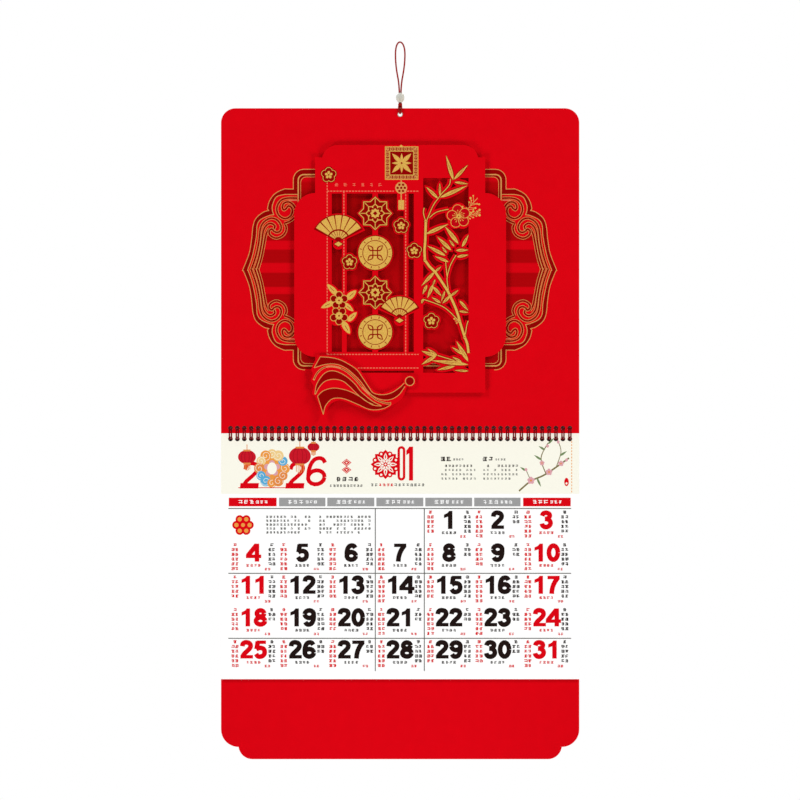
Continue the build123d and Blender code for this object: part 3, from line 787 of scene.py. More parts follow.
def medallion_contour(corner_px, radius, shoulder_y, cusp_px, wing_px):
    """A closed contour in millimetres from the points of its upper left quarter."""
    x, y = corner_px
    quarter = all_at([(MEDALLION_X, y)])
    quarter += arc(*at(x + radius, y + radius), radius * PIXEL, 90, 180, 6)
    quarter += all_at([(x, shoulder_y)])
    quarter += smooth(all_at(cusp_px)) + smooth(all_at(wing_px))
    z = at(0, MEDALLION_Y)[1]
    half = quarter + mirrored(quarter[::-1], z=z)[1:]
    return half + mirrored(half[::-1], x=at(MEDALLION_X, 0)[0])[1:-1]


def four_ways(line):
    x, z = at(MEDALLION_X, MEDALLION_Y)
    return [line, mirrored(line, x=x), mirrored(line, z=z), mirrored(line, x=x, z=z)]


def rope(work, line):
    """A cord of foil: a dark core between gold edges."""
    for copy in four_ways(line):
        work.line("gold", copy, ROPE_WIDTH)
        work.line("dark", copy, ROPE_WIDTH - 2 * ROPE_EDGE)


def panel_outlines(centre_x):
    """The outer and inner outlines of the panel behind the plaque, in millimetres."""
    centre_z = at(MEDALLION_X, PANEL_Y)[1]
    (corner_x, corner_y), radius = INNER_CONTOUR_PX[:2]
    half = (MEDALLION_X - corner_x) * PIXEL
    rise = (PANEL_Y - corner_y) * PIXEL
    corner = radius * PIXEL
    panel = []
    for sx, sz, start in ((1, 1, 0), (-1, 1, 90), (-1, -1, 180), (1, -1, 270)):
        panel += arc(centre_x + sx * (half - corner), centre_z + sz * (rise - corner), corner,
                     start, start + 90, 6)
    return panel, [(centre_x + (x - centre_x) * PANEL_INSET, centre_z + (z - centre_z) * PANEL_INSET)
                   for x, z in panel]


def build_medallion():
    work = Flatwork()
    outer, inner = [medallion_contour(*contour) for contour in (OUTER_CONTOUR_PX, INNER_CONTOUR_PX)]
    work.ink("dark", outer)
    work.ink(None, inner)
    centre_x, centre_z = at(MEDALLION_X, MEDALLION_Y)
    field = smooth(all_at(FIELD_PX))
    half = field + mirrored(field[::-1], z=centre_z)[1:]
    work.ink("field", half + mirrored(half[::-1], x=centre_x))
    for line in (BUNDLE_THREE_PX, BUNDLE_TWO_PX, BUNDLE_PX, CURL_PX, LINK_PX, SPIRAL_PX):
        rope(work, smooth(all_at(line), 4))
    for copy in four_ways(box(*at(*GLINT_PX[:2]), *at(*GLINT_PX[2:]))):
        work.ink("salmon", copy)
    for line in (outer, inner):
        work.line("gold", line, CONTOUR_WIDTH, closed=True)
    panel, inner_panel = panel_outlines(centre_x)
    work.ink("dark", panel)
    work.ink("well", inner_panel)
    work.line("gold", panel, PANEL_WIDTH, closed=True)
    work.line("gold", inner_panel, PANEL_INNER_WIDTH, closed=True)
    bar(work, None, *OPEN_FOOT_PX)
    place_art("medallion", work, header_inks, HEADER_FRONT, "header", clip=False)


build_medallion()


# The die-cut plaque. Its motifs are added once to the card, larger, and once to the print

BLOSSOMS = [(-87.3, -161.8, 9.5), (-61.9, -268.4, 9.5), (1.3, -224.0, 9.5), (17.2, -254.5, 9.5),
            (38.2, -340.3, 9.8)]
SPRAY = [(-74.7, -315.3, 11.3), (-74.7, -334.1, 11.3)]
SPRAY_LEAVES_PX = [((337.5, 295.0), (327.0, 284.0), 5.6), ((346.4, 299.3), (356.3, 290.5), 6.2),
                   ((334.6, 301.6), (321.1, 307.9), 5.6), ((343.9, 303.0), (353.4, 311.3), 4.8),
                   ((347.6, 321.3), (356.7, 312.2), 5.2), ((342.6, 321.4), (349.8, 333.8), 6.2)]
SPRAY_FULLNESS, STAR_POINTS = 0.65, 8
BIG_BLOSSOM = (71.6, -212.4, 14.7)
FANS = [(-75.5, -242.7, 31.6), (-0.8, -336.1, 25.3)]
FAN_SPREAD, FAN_PANELS, FAN_CARD_SPREAD = 61.0, 7, 65.0
STEM_WIDTH, TWIG_WIDTH, JOINT_RADIUS, LEAF_SHARE, BAMBOO_EDGE = 2.9, 1.05, 1.9, 0.8, 0.95
STEM_PX = [(468.5, 353.0), (467.3, 344.0), (464.7, 336.9), (462.2, 329.2), (459.6, 320.9), (456.4, 310.0),
           (449.4, 294.4), (444.9, 286.7), (435.0, 271.9), (424.9, 260.2), (425.3, 240.0), (425.8, 221.4)]
JOINTS_PX = [(424.9, 260.2), (449.4, 294.4), (459.6, 321.4), (464.7, 337.4), (425.8, 221.4)]
TWIGS_PX = [
    [(426.4, 221.2), (433.0, 205.8), (437.9, 198.8), (442.1, 193.2), (449.1, 185.4), (450.5, 179.1)],
    [(425.6, 221.0), (423.4, 213.0), (424.2, 207.9)],
    [(429.5, 217.7), (436.5, 212.1), (448.4, 209.3)],
    [(448.4, 290.2), (447.0, 278.9), (449.1, 269.1), (451.9, 262.1), (456.1, 255.1)],
    [(447.0, 276.1), (445.6, 262.1)],
    [(423.2, 299.3), (433.7, 302.8), (442.1, 306.3), (449.1, 311.2), (458.2, 320.4)],
    [(465.4, 334.4), (466.7, 325.4), (468.2, 320.9)],
    [(437.8, 355.5), (446.0, 358.0), (454.5, 360.6)],
]
LEAVES_PX = [
    ((453.3, 180.2), (446.0, 155.3), 4.6), ((453.8, 179.6), (468.0, 164.8), 3.8),
    ((454.5, 182.2), (468.2, 184.0), 3.0), ((440.0, 197.6), (467.6, 185.6), 4.6),
    ((438.0, 198.6), (426.0, 186.8), 3.8), ((440.0, 196.0), (439.7, 183.0), 2.6),
    ((426.0, 234.0), (448.6, 224.0), 4.4), ((458.4, 243.8), (444.9, 226.3), 4.8),
    ((451.2, 250.4), (437.2, 236.8), 4.4), ((445.6, 255.8), (426.9, 245.6), 4.2),
    ((448.6, 262.0), (434.6, 256.2), 3.4), ((462.0, 247.0), (468.6, 234.6), 3.6),
    ((456.0, 250.4), (468.6, 250.0), 3.6), ((456.8, 257.0), (468.6, 254.8), 3.4),
    ((454.4, 246.6), (449.1, 239.6), 2.6), ((446.6, 253.0), (441.8, 246.7), 2.6),
    ((435.1, 271.9), (441.4, 266.3), 2.6), ((434.6, 272.0), (421.4, 286.0), 4.0),
    ((427.0, 285.0), (422.6, 294.4), 3.6), ((433.2, 284.4), (427.2, 298.4), 4.2),
    ((435.1, 279.4), (432.6, 286.0), 2.2), ((433.0, 286.7), (441.8, 296.4), 3.6),
    ((440.8, 303.0), (431.6, 297.2), 3.2), ((444.9, 291.0), (441.2, 301.8), 2.6),
    ((450.0, 296.0), (442.2, 303.7), 3.6), ((450.5, 296.2), (458.4, 290.0), 2.8),
    ((459.6, 300.7), (468.4, 310.8), 3.4), ((459.2, 311.2), (468.6, 312.6), 2.8),
    ((468.2, 361.4), (456.4, 341.2), 5.0), ((463.0, 354.6), (451.7, 347.0), 3.2),
    ((468.2, 364.6), (430.6, 360.4), 4.8), ((461.7, 362.2), (452.4, 357.0), 3.2),
    ((455.0, 366.0), (437.0, 370.0), 3.6), ((468.4, 371.0), (454.3, 370.3), 2.6),
    ((436.2, 356.2), (421.4, 351.0), 4.2), ((436.0, 356.0), (421.4, 364.6), 4.2),
    ((437.4, 355.6), (427.4, 348.6), 3.0), ((423.0, 299.0), (421.6, 303.6), 3.0),
]
DASHED_PX = [((327.2, 182.0), (327.2, 354.4)), ((343.9, 191.2), (343.9, 296.0)),
             ((405.7, 191.2), (405.7, 354.4)), ((327.2, 191.2), (394.0, 191.2)),
             ((407.0, 191.2), (418.6, 191.2)), ((327.2, 354.4), (418.6, 354.4)),
             ((357.4, 368.0), (418.6, 368.0))]
DASH, DASH_GAP, DASH_WIDTH = 2.5, 1.3, 1.05
FRET_PX, FRET_RIM, FRET_CELLS, FRET_LINE = (385.0, 146.5, 418.3, 179.8), 0.9, 9, 0.75
FRET_TURN = [(0.15, 0.15), (0.85, 0.15), (0.85, 0.85), (0.35, 0.85), (0.35, 0.45), (0.6, 0.45)]
# The plate's flower: root, share of the field, width and turn of its petals, and its heart
FRET_PETALS, FRET_HEART = ((1.2, 1.18, 5.2, 45), (1.6, 0.86, 3.2, 0)), (("gold", 2.4, 14), ("dark", 1.2, 10))
# The tip above the plate, and the tassel below it with its knot
TASSEL_X, FRET_TIP_Y, TASSEL_Y, KNOT_Y = 401.2, 144.6, (180.0, 200.4), 187.9
FRET_TIP_HALF, TASSEL_WIDTH, KNOT_RADIUS, KNOT_REACH, KNOT_DOT = 2.2, 1.4, 7.4, 4.4, 1.55
TASSEL_END_PX, TASSEL_STRIPES, STRIPE_WIDTH, STRIPE_GAP = (398.4, 200.2, 404.2, 209.6), 3, 0.8, 1.6
TASSEL_CARD_PX = ((397.0, 211.0), (405.5, 192.0))
# The small print beside the plate: place, count, step and size
HEAD_MARKS = (334.8, 183.2, 6, 8.7, 3.6)
# Each sprig: place, length in millimetres, direction and number of twigs
SPRIGS = [((465.0, 212.0), 23.0, 48, 13), ((467.0, 216.0), 17.0, 14, 9), ((458.0, 321.0), -14.0, 4, 6)]


def plaque_outline():
    right = arc(CROWN_ARC_X, PLAQUE_TOP - CROWN_RADIUS, CROWN_RADIUS, 90, 14, 8)
    right += [(PLAQUE_HALF, LEDGE_Z), (PLAQUE_HALF, WING_TOP)]
    right += arc(WING_HALF - WING_RADIUS, WING_TOP - WING_RADIUS, WING_RADIUS, 90, 0)
    right += arc(WING_HALF - WING_RADIUS, WING_FOOT + WING_RADIUS, WING_RADIUS, 0, -90)
    right += [(PLAQUE_HALF, PLAQUE_FOOT)]
    return right + mirrored(right[::-1], x=0)


def petals(work, layer, value, centre, radius, grow=0.0):
    """Five round petals about a centre, reaching out to the radius."""
    for middle in around(centre, 0.52 * radius, 5, 90):
        work.fill(layer, value, circle(*middle, 0.48 * radius + grow, 18))


def blossom(work, x, z, radius):
    for ink, grow in (("dark", 1.0), ("gold", 0.0), ("dark", -0.7)):
        petals(work, "ink", ink, (x, z), radius, grow)
    for middle in around((x, z), 0.33 * radius, 5, 90):
        work.dot("gold", middle, 0.175 * radius)
    work.dot("gold", (x, z), radius * 0.2)
    work.dot("dark", (x, z), radius * 0.11, 10)


def big_blossom(work, x, z, radius):
    """A blossom of five overlapping petals, each with a gold rim, and stamens with round anthers."""
    for middle in around((x, z), 0.56 * radius, 5, 100):
        work.dot("gold", middle, 0.43 * radius, 20)
        work.dot("rose", middle, 0.43 * radius - 0.65, 20)
    for k in range(15):
        reach = (0.5, 0.4, 0.4)[k % 3]
        stamen = turned([(0.1 * radius, 0), (reach * radius, 0)], 100 + 24 * k, (x, z))
        work.line("gold", stamen, 0.4)
        work.dot("gold", stamen[1], 0.65, 8)
    work.dot("gold", (x, z), 1.9)
    work.dot("dark", (x, z), 0.9, 10)


def sector(x, z, inner, outer, start, stop, steps):
    return arc(x, z, outer, start, stop, steps) + arc(x, z, inner, stop, start, steps)


def fan_card(work, x, z, radius):
    start, stop = 90 - FAN_CARD_SPREAD, 90 + FAN_CARD_SPREAD
    work.card([(x, z - MARGIN)] + arc(x, z - MARGIN, radius + 2 * MARGIN, start, stop, 24))
    work.card(circle(x, z - 3.5, 7.0))


def fan(work, x, z, radius):
    rim = arc(x, z - 1, radius + 2.0, 90 - FAN_SPREAD - 2, 90 + FAN_SPREAD + 2, 24)
    work.ink("dark", [(x, z - 1)] + rim)
    step = 2 * FAN_SPREAD / FAN_PANELS
    for k in range(FAN_PANELS):
        start = 90 - FAN_SPREAD + k * step
        for inner, outer, gap in ((radius * 0.46, radius, 1.4), (radius * 0.16, radius * 0.4, 2.0)):
            work.ink("gold", sector(x, z, inner, outer, start + gap, start + step - gap, 4))
        work.line("line", turned([(radius * 0.2, 0), (radius * 0.37, 0)], start + step / 2, (x, z)), 0.5)
    diamond = [(x - 4.9, z - 3.6), (x, z - 0.6), (x + 4.9, z - 3.6), (x, z - 6.6)]
    work.ink("dark", [(x + (a - x) * 1.35, z - 3.6 + (b - z + 3.6) * 1.4) for a, b in diamond])
    work.ink("gold", diamond)


def star_outline(x, z, reach, dent):
    """A star with straight sides, as traditional window lattices have."""
    outline = []
    for k in range(STAR_POINTS * 2):
        radius = reach if k % 2 == 0 else reach * dent
        outline += turned([(radius, 0)], 90 + 180 * k / STAR_POINTS, (x, z))
    return outline


def lattice_star(work, x, z, reach):
    for ink, share in (("dark", 1.0), ("gold", 0.95), ("dark", 0.885), ("gold", 0.56), ("dark", 0.49)):
        work.ink(ink, star_outline(x, z, reach * share, 0.77))
    diamond = [(reach * 0.3, 0), (reach * 0.38, 0.9), (reach * 0.46, 0), (reach * 0.38, -0.9)]
    for k in range(STAR_POINTS):
        work.line("gold", turned([(reach * 0.56, 0), (reach * 0.84, 0)], 45 * k + 90, (x, z)), 0.9)
        work.ink("gold", turned(diamond, 45 * k + 67.5, (x, z)))
    work.ink("gold", square(x, z, 4.4))
    for ink, half in (("gold", 4.4), ("dark", 2)):
        work.ink(ink, turned(square(0, 0, half), 45, (x, z)))


def coin(work, x, z, reach):
    for ink, share in (("dark", 1.0), ("gold", 0.95), ("dark", 0.72), ("gold", 0.68)):
        work.dot(ink, (x, z), reach * share, 36)
    for k in range(12):
        work.line("dark", turned([(reach * 0.77, 0), (reach * 0.9, 0)], 30 * k + 15, (x, z)), 1.0)
    for k in range(4):
        for ink, root, tip, width in (("dark", 0.16, 0.62, 6.0), ("gold", 0.24, 0.54, 3.0)):
            work.ink(ink, turned(lens((reach * root, 0), (reach * tip, 0), width), 90 * k + 45, (x, z)))
    work.ink("dark", square(x, z, 3.6))
    work.ink("gold", square(x, z, 2.2))


def bamboo(work, layer, value, grow):
    """Stem, twigs, leaves and joints, with grow added all round."""
    work.stroke(layer, value, smooth(all_at(STEM_PX), 2), STEM_WIDTH + 2 * grow)
    for twig in TWIGS_PX:
        work.stroke(layer, value, smooth(all_at(twig), 3), TWIG_WIDTH + 2 * grow)
    for base, tip, width in LEAVES_PX:
        work.fill(layer, value, lens(at(*base), at(*tip), width * PIXEL * LEAF_SHARE, grow))
    for px, py in JOINTS_PX:
        work.fill(layer, value, circle(*at(px, py), JOINT_RADIUS + grow, 14))


def plaque_card(work):
    work.card(plaque_outline())
    for left, right, top, foot in WINDOWS:
        work.card(box(left, foot, right, top), False)
    x = ORNAMENT_X
    work.card(box(x - NECK / 2, LATTICE_FOOT - 1, x + NECK / 2, LATTICE_TOP + 1))
    for index, z in enumerate(ORNAMENT_ROWS):
        if index % 2 == 0:
            work.card(star_outline(x, z, ORNAMENT_REACH + 1.0, 0.79))
        else:
            work.card(circle(x, z, ORNAMENT_REACH + 0.8, 40))
    for x, z, radius in BLOSSOMS + SPRAY + [BIG_BLOSSOM]:
        petals(work, "card", True, (x, z), radius, MARGIN)
        work.card(circle(x, z, radius * 0.6, 12))
    for base, tip, width in SPRAY_LEAVES_PX:
        work.card(lens(at(*base), at(*tip), width * PIXEL, MARGIN, SPRAY_FULLNESS))
    for x, z, radius in FANS:
        fan_card(work, x, z, radius)
    work.card(box(*at(*TASSEL_CARD_PX[0]), *at(*TASSEL_CARD_PX[1])))
    bamboo(work, "card", True, BAMBOO_MARGIN)


def dashes(work, start, stop):
    a, b = Vector(start), Vector(stop)
    d = (b - a).normalized()
    run = 0.0
    while run < (b - a).length:
        end = min(run + DASH, (b - a).length)
        work.line("salmon", [tuple(a + d * run), tuple(a + d * end)], DASH_WIDTH)
        run += DASH + DASH_GAP


def fret_plate(work):
    """A square plate with a meander border and a lattice flower, as on old window screens."""
    left, top = at(*FRET_PX[:2])
    size = (FRET_PX[2] - FRET_PX[0]) * PIXEL
    middle = (left + size / 2, top - size / 2)
    work.ink("gold", box(left, top - size, left + size, top))
    rim = FRET_RIM
    work.ink("dark", box(left + rim, top - size + rim, left + size - rim, top - rim))
    cell = (size - 2 * rim) / FRET_CELLS
    for k in range(FRET_CELLS):
        path = [((p + k) * cell - (size / 2 - rim), size / 2 - rim - q * cell) for p, q in FRET_TURN]
        for side in range(4):
            work.line("line", turned(path, 90 * side, middle), FRET_LINE)
    inner = size / 2 - rim - cell
    work.ink("gold", square(*middle, inner))
    inner -= 1.0
    work.ink("dark", square(*middle, inner))
    for k in range(4):
        for root, tip, width, turn in FRET_PETALS:
            work.ink("gold", turned(lens((root, 0), (inner * tip, 0), width), 90 * k + turn, middle))
    for ink, radius, steps in FRET_HEART:
        work.dot(ink, middle, radius, steps)
    tip = at(TASSEL_X, FRET_TIP_Y)
    work.ink("gold", [(tip[0] - FRET_TIP_HALF, top), (tip[0] + FRET_TIP_HALF, top), tip])
    work.line("line", [at(TASSEL_X, y) for y in TASSEL_Y], TASSEL_WIDTH)
    knot = at(TASSEL_X, KNOT_Y)
    work.dot("line", knot, KNOT_RADIUS)
    for spot in around(knot, KNOT_REACH, 6) + [knot]:
        work.dot("dark", spot, KNOT_DOT, 10)
    bar(work, "gold", *TASSEL_END_PX)
    left, top = at(*TASSEL_END_PX[:2])
    right, foot = at(*TASSEL_END_PX[2:])
    for k in range(TASSEL_STRIPES):
        stripe = left + (right - left) * (k + 0.5) / TASSEL_STRIPES
        work.line("line", [(stripe, foot), (stripe, top - STRIPE_GAP)], STRIPE_WIDTH)


def spray(work):
    """Two blossoms of five rimmed petals, with broad gold leaves behind them."""
    for base, tip, width in SPRAY_LEAVES_PX:
        b, t = Vector(at(*base)), Vector(at(*tip))
        work.ink("gold", lens(b, t, width * PIXEL, 0.0, SPRAY_FULLNESS))
        work.line("dark", [tuple(b + (t - b) * 0.34), tuple(b + (t - b) * 0.72)], 0.6)
    for (x, z, radius), turn in zip(SPRAY, (90, 270)):
        for middle in around((x, z), 0.6 * radius, 5, turn):
            work.dot("gold", middle, 0.4 * radius, 18)
            work.dot("dark", middle, 0.4 * radius - 0.75, 18)
        for spot in around((x, z), 0.3 * radius, 10, turn):
            work.dot("gold", spot, 0.12 * radius, 10)
        work.dot("gold", (x, z), 0.31 * radius, 16)
        work.dot("dark", (x, z), 0.1 * radius, 10)


def sprig(work, start, reach, turn, twigs):
    """Fine gold twigs with buds beside a blossom."""
    random.seed(11 + int(reach))
    for k in range(twigs):
        share = (k + 1) / twigs
        side = -1 if k % 2 else 1
        root = turned([(reach * (share - 0.3), 0)], turn, start)[0]
        tip = turned([(reach * 0.34, 0)], turn + side * random.uniform(25, 60), root)[0]
        work.line("line", [root, tip], 0.7)
        work.dot("gold", tip, random.uniform(0.8, 1.5), 8)
    work.line("line", [start, turned([(reach, 0)], turn, start)[0]], 0.8)


def leaf_streaks(work):
    """Two dark streaks along each bamboo leaf, and a dark line across each joint."""
    for base, tip, width in LEAVES_PX:
        b, t = Vector(at(*base)), Vector(at(*tip))
        across = Vector((b.y - t.y, t.x - b.x)).normalized() * width * 0.12
        for side, start, stop in ((-1, 0.2, 0.6), (1, 0.4, 0.78)):
            work.line("dark", [tuple(b + (t - b) * share + across * side) for share in (start, stop)], 0.4)
    for px, py in JOINTS_PX:
        x, z = at(px, py)
        work.line("dark", [(x - 1.7, z - 0.5), (x + 1.7, z + 0.5)], 0.45)


def plaque_print(work):
    for start, stop in DASHED_PX:
        dashes(work, at(*start), at(*stop))
    fret_plate(work)
    marks(work, "salmon", *HEAD_MARKS, random.Random(7), 0.13)
    for index, z in enumerate(ORNAMENT_ROWS):
        (lattice_star, coin)[index % 2](work, ORNAMENT_X, z, ORNAMENT_REACH)
    bamboo(work, "ink", "dark", BAMBOO_EDGE)
    bamboo(work, "ink", "gold", 0.0)
    leaf_streaks(work)
    for place_px, reach, turn, twigs in SPRIGS:
        sprig(work, at(*place_px), reach, turn, twigs)
    spray(work)
    for x, z, radius in BLOSSOMS:
        blossom(work, x, z, radius)
    big_blossom(work, *BIG_BLOSSOM)
    for x, z, radius in FANS:
        fan(work, x, z, radius)


def build_plaque():
    work = Flatwork()
    plaque_card(work)
    mesh = card_mesh("plaque_card", work, PLAQUE_FRONT, PLAQUE_BACK, CARD_EDGE)
    place("plaque_card", mesh, plaque_look, "header", "plaque")
    plaque_print(work)
    place_art("plaque", work, card_inks, PLAQUE_FRONT, "header")


build_plaque()

# The ribbon, in millimetres from the plaque's lower left corner

RIBBON_UPPER = [(3.5, 45.8), (19.0, 45.1), (33.9, 41.8), (55.5, 27.0), (68.6, 6.5), (82.6, -0.4),
                (102.2, 8.3), (108.3, 13.0)]
RIBBON_BALL = (115.8, 13.95, 7.6)
RIBBON_LOWER = [(112.2, 7.2), (107.4, -5.2), (97.6, -13.6), (85.4, -21.1), (73.2, -23.9), (50.8, -17.1),
                (31.1, -9.4), (17.5, -15.5), (10.1, -30.0)]
RIBBON_TAIL = [(10.1, -30.0), (6.1, -18.0), (-0.2, -4.3)]
RIBBON_FOLDS = [(-0.2, -4.3), (-3.6, -1.0), (-1.8, 7.5), (-5.4, 15.0), (-2.6, 22.5), (-4.4, 29.5),
                (3.5, 45.8)]
# The ribbon's crease lines, in pixels of an enlarged crop of the photograph
CROP_ORIGIN, CROP_PIXEL = (-18.45, 100.95), 0.09355
CREASES_CROP_PX = [
    [(265, 612), (400, 622), (520, 650), (640, 710), (745, 785), (820, 890), (900, 1010), (960, 1085),
     (1080, 1108), (1200, 1080), (1300, 1015), (1365, 955)],
    [(185, 755), (340, 710), (480, 710), (600, 760), (700, 840), (790, 930), (870, 1040), (950, 1120),
     (1060, 1170), (1180, 1170), (1290, 1110), (1370, 1000)],
    [(178, 915), (230, 820), (320, 750), (450, 740), (590, 790), (720, 900), (830, 1030), (930, 1120),
     (1010, 1180), (1130, 1220), (1190, 1215)],
    [(195, 1100), (215, 980), (280, 870), (350, 810), (430, 795), (520, 820), (620, 880), (720, 970),
     (790, 1060), (880, 1140), (960, 1200), (1060, 1250)],
    [(205, 1100), (250, 1010), (330, 930), (450, 905), (560, 930), (650, 1000), (760, 1110), (860, 1190),
     (960, 1235)],
    [(230, 1125), (300, 1060), (400, 1025), (500, 1025), (640, 1060), (780, 1130), (880, 1200), (960, 1245),
     (1065, 1255)],
    [(305, 1365), (330, 1260), (400, 1175), (480, 1150), (590, 1165), (760, 1235), (880, 1290), (980, 1305),
     (1100, 1285), (1190, 1235)],
]
# The pairs of crease lines with dark ribbon between them, and the line that is a narrow fold
SHADED_FOLDS, THIN_FOLD, THIN_FOLD_GLOW = [(0, 1), (3, 4), (5, 6)], 2, [(11, 19), (29, 35)]
CREASE_WIDTH, FOLD_WIDTH, FOLD_INNER_WIDTH, FOLD_GLOW_WIDTH = 0.78, 2.2, 1.0, 0.8
BALL_RIM, BALL_FACE = 5.9, 4.9


def ribbon_outline():
    line = smooth(RIBBON_UPPER) + smooth(RIBBON_LOWER) + smooth(RIBBON_TAIL)[1:]
    line += smooth(RIBBON_FOLDS, 6)[1:-1]
    return [(-PLAQUE_HALF + x, PLAQUE_FOOT + z) for x, z in line]


def ribbon_point(crop_x, crop_y):
    """Millimetres (x, z) of a pixel of the enlarged crop."""
    x, z = CROP_ORIGIN[0] + CROP_PIXEL * crop_x, CROP_ORIGIN[1] - CROP_PIXEL * crop_y
    return (x - PLAQUE_HALF, z + PLAQUE_FOOT)


def build_ribbon():
    ball_x, ball_z, ball_radius = RIBBON_BALL
    ball = (ball_x - PLAQUE_HALF, ball_z + PLAQUE_FOOT)
    work = Flatwork()
    work.card(ribbon_outline())
    work.card(circle(*ball, ball_radius, 32))
    mesh = card_mesh("ribbon_card", work, RIBBON_FRONT, RIBBON_BACK, CARD_EDGE)
    place("ribbon_card", mesh, ribbon_look, "header", "ribbon_applique")
    creases = [smooth([ribbon_point(cx, cy) for cx, cy in crease]) for crease in CREASES_CROP_PX]
    for upper, lower in SHADED_FOLDS:
        work.band("ink", "dark", creases[upper], creases[lower])
        work.line("line", [creases[upper][0], creases[lower][0]], CREASE_WIDTH)
    for index, crease in enumerate(creases):
        if index != THIN_FOLD:
            work.line("line", crease, CREASE_WIDTH)
    thin = creases[THIN_FOLD]
    work.line("line", thin, FOLD_WIDTH)
    work.line("dark", thin[1:-1], FOLD_INNER_WIDTH)
    for start, stop in THIN_FOLD_GLOW:
        work.line("salmon", thin[start:stop], FOLD_GLOW_WIDTH)
    work.dot("line", ball, BALL_RIM, 32)
    work.dot("dark", ball, BALL_FACE, 32)
    place_art("ribbon", work, card_inks, RIBBON_FRONT, "header")


build_ribbon()

# The month page's print, in pixels of the photograph

STRIP_PX = (220.0, 433.0, 580.4, 493.8)
WEEKDAY_Y = (497.7, 506.3)
WEEKDAYS_PX = [(228.8, 276.6, "red"), (279.1, 325.4, "grey"), (327.3, 374.3, "grey"), (376.4, 423.3, "grey"),
               (425.3, 472.1, "grey"), (474.2, 520.5, "grey"), (523.1, 570.7, "red")]
# In the weekday bars: place from their middle, top, count, step, size and weight of each word's marks
WEEKDAY_MARKS = [(-14.5, 499.9, 3, 5.6, 4.3, 0.15), (3.0, 500.4, 3, 4.2, 3.4, 0.17)]
RULES_PX = [(228.8, y, 570.7, y) for y in (508.5, 573.3, 638.3)]
RULES_PX += [(x, 508.5, x, 670.6) for x in (375.3, 424.3)]
RULE_HALF_PX, PRINT_INSET = 0.45, 0.05
COLUMNS_PX = [253.6, 302.4, 351.3, 400.0, 449.1, 497.7, 546.5]
ROWS_PX = [510.9, 543.6, 575.8, 608.4, 640.5]
DIGIT_PX, DIGIT_WIDTH, DIGIT_WEIGHT = 18.0, 1.06, 1.18
FIRST_COLUMN, DAYS = 4, 31
# Beside each date: ink, shift and lengths of its note columns, and how far above its top they start
NOTE_COLUMNS, NOTE_RISE = (("red", -22.3, (5, 6, 6)), ("black", 14.6, (3, 5, 5))), 0.4
# Below each date: ink, shift, drop, count, step and size; None stands for the date's own ink
DAY_MARKS = ((None, -7.4, 20.4, 4, 3.8, 3.0), ("red", 11.0, 24.2, 2, 3.0, 2.8))
NOTE_SIZE, NOTE_ACROSS, NOTE_DOWN, NOTE_WEIGHT = 3.4, 3.9, 4.75, 0.24
# The year and the month in the strip: text, middle, top, height, width, weight and slant
YEAR_DIGITS = [("2", 249.0, 460.5, 28.0, 1.0, 0.62, 0.14), ("2", 294.5, 460.5, 28.0, 1.0, 0.62, 0.14),
               ("6", 315.2, 454.6, 33.4, 1.05, 0.55, 0.1)]
LANTERNS_PX = [(247.0, 457.0, 18.0, 14.0), (299.9, 456.0, 22.0, 18.0), (313.5, 447.0, 12.0, 9.0)]
# The wreath: its middle, whole size, reach of its clouds, their sizes, the hole, and its petals' reach and
# radius in millimetres
WREATH_PX, WREATH_SIZE_PX, WREATH_REACH_PX, CLOUDS_PX = (272.0, 468.4), (31.0, 35.0), (12.6, 14.6), (4.9, 4.3)
WREATH_HOLE_PX, PETALS_REACH, PETAL_RADIUS = (9.6, 12.0), 6.4, 3.6
YEAR_RULE_PX = (238.2, 487.3, 304.0, 488.1)
DIAMONDS_PX, DIAMOND_STEP_PX, DIAMOND_FLATNESS = (346.6, 462.6), 7.2, 0.79
DIAMOND_RINGS = ((6.0, "red"), (4.6, "cream"), (3.9, "red"), (1.3, "cream"))
# Small print in the strip: place, count, step and size
YEAR_MARKS, YEAR_FINE_MARKS = (336.2, 476.8, 4, 6.0, 4.8), (329.6, 484.4, 10, 3.4, 2.7)
PAPER_CUT_PX = (385.5, 464.4, 13.4)
# The month: the nought's middle, its arcs' centres and radius, its stroke, and the one with its flag
NOUGHT_X, NOUGHT_ARCS_Y, NOUGHT_RADIUS_PX, NOUGHT_STROKE_PX = 401.4, ((450.0, 0), (476.7, 180)), 2.65, 2.5
MONTH_ONE_PX = (409.0, 446.6, 413.1, 480.5)
MONTH_FLAG_PX = [(409.4, 446.6), (409.4, 453.0), (406.3, 455.2), (406.3, 450.6)]
# Below the month: place, count, step and size of its small print, and which of its marks are red
MONTH_MARKS, MONTH_RED_MARKS = (371.0, 483.4, 14, 3.9, 3.1), range(2, 6)
# The two festivals' small print: ink, shift, top, count, step, size and share of the marks drawn
FESTIVALS_X = (440.5, 482.5)
FESTIVAL_PRINT = [("black", 0.0, 456.6, 2, 5.8, 5.0, None), ("line", 12.4, 458.4, 4, 2.8, 2.2, None),
                  ("black", 0.6, 464.6, 10, 3.6, 2.6, 0.88)]
FESTIVAL_PRINT += [("line", 0.6, 464.6 + line * 4.3, 10, 3.6, 2.3, 0.88) for line in (1, 2, 3)]
EDGE_DASH_PX, EDGE_DASHES, EDGE_STEP = (571.3, 441.0, 572.1, 442.9), 17, 3.1
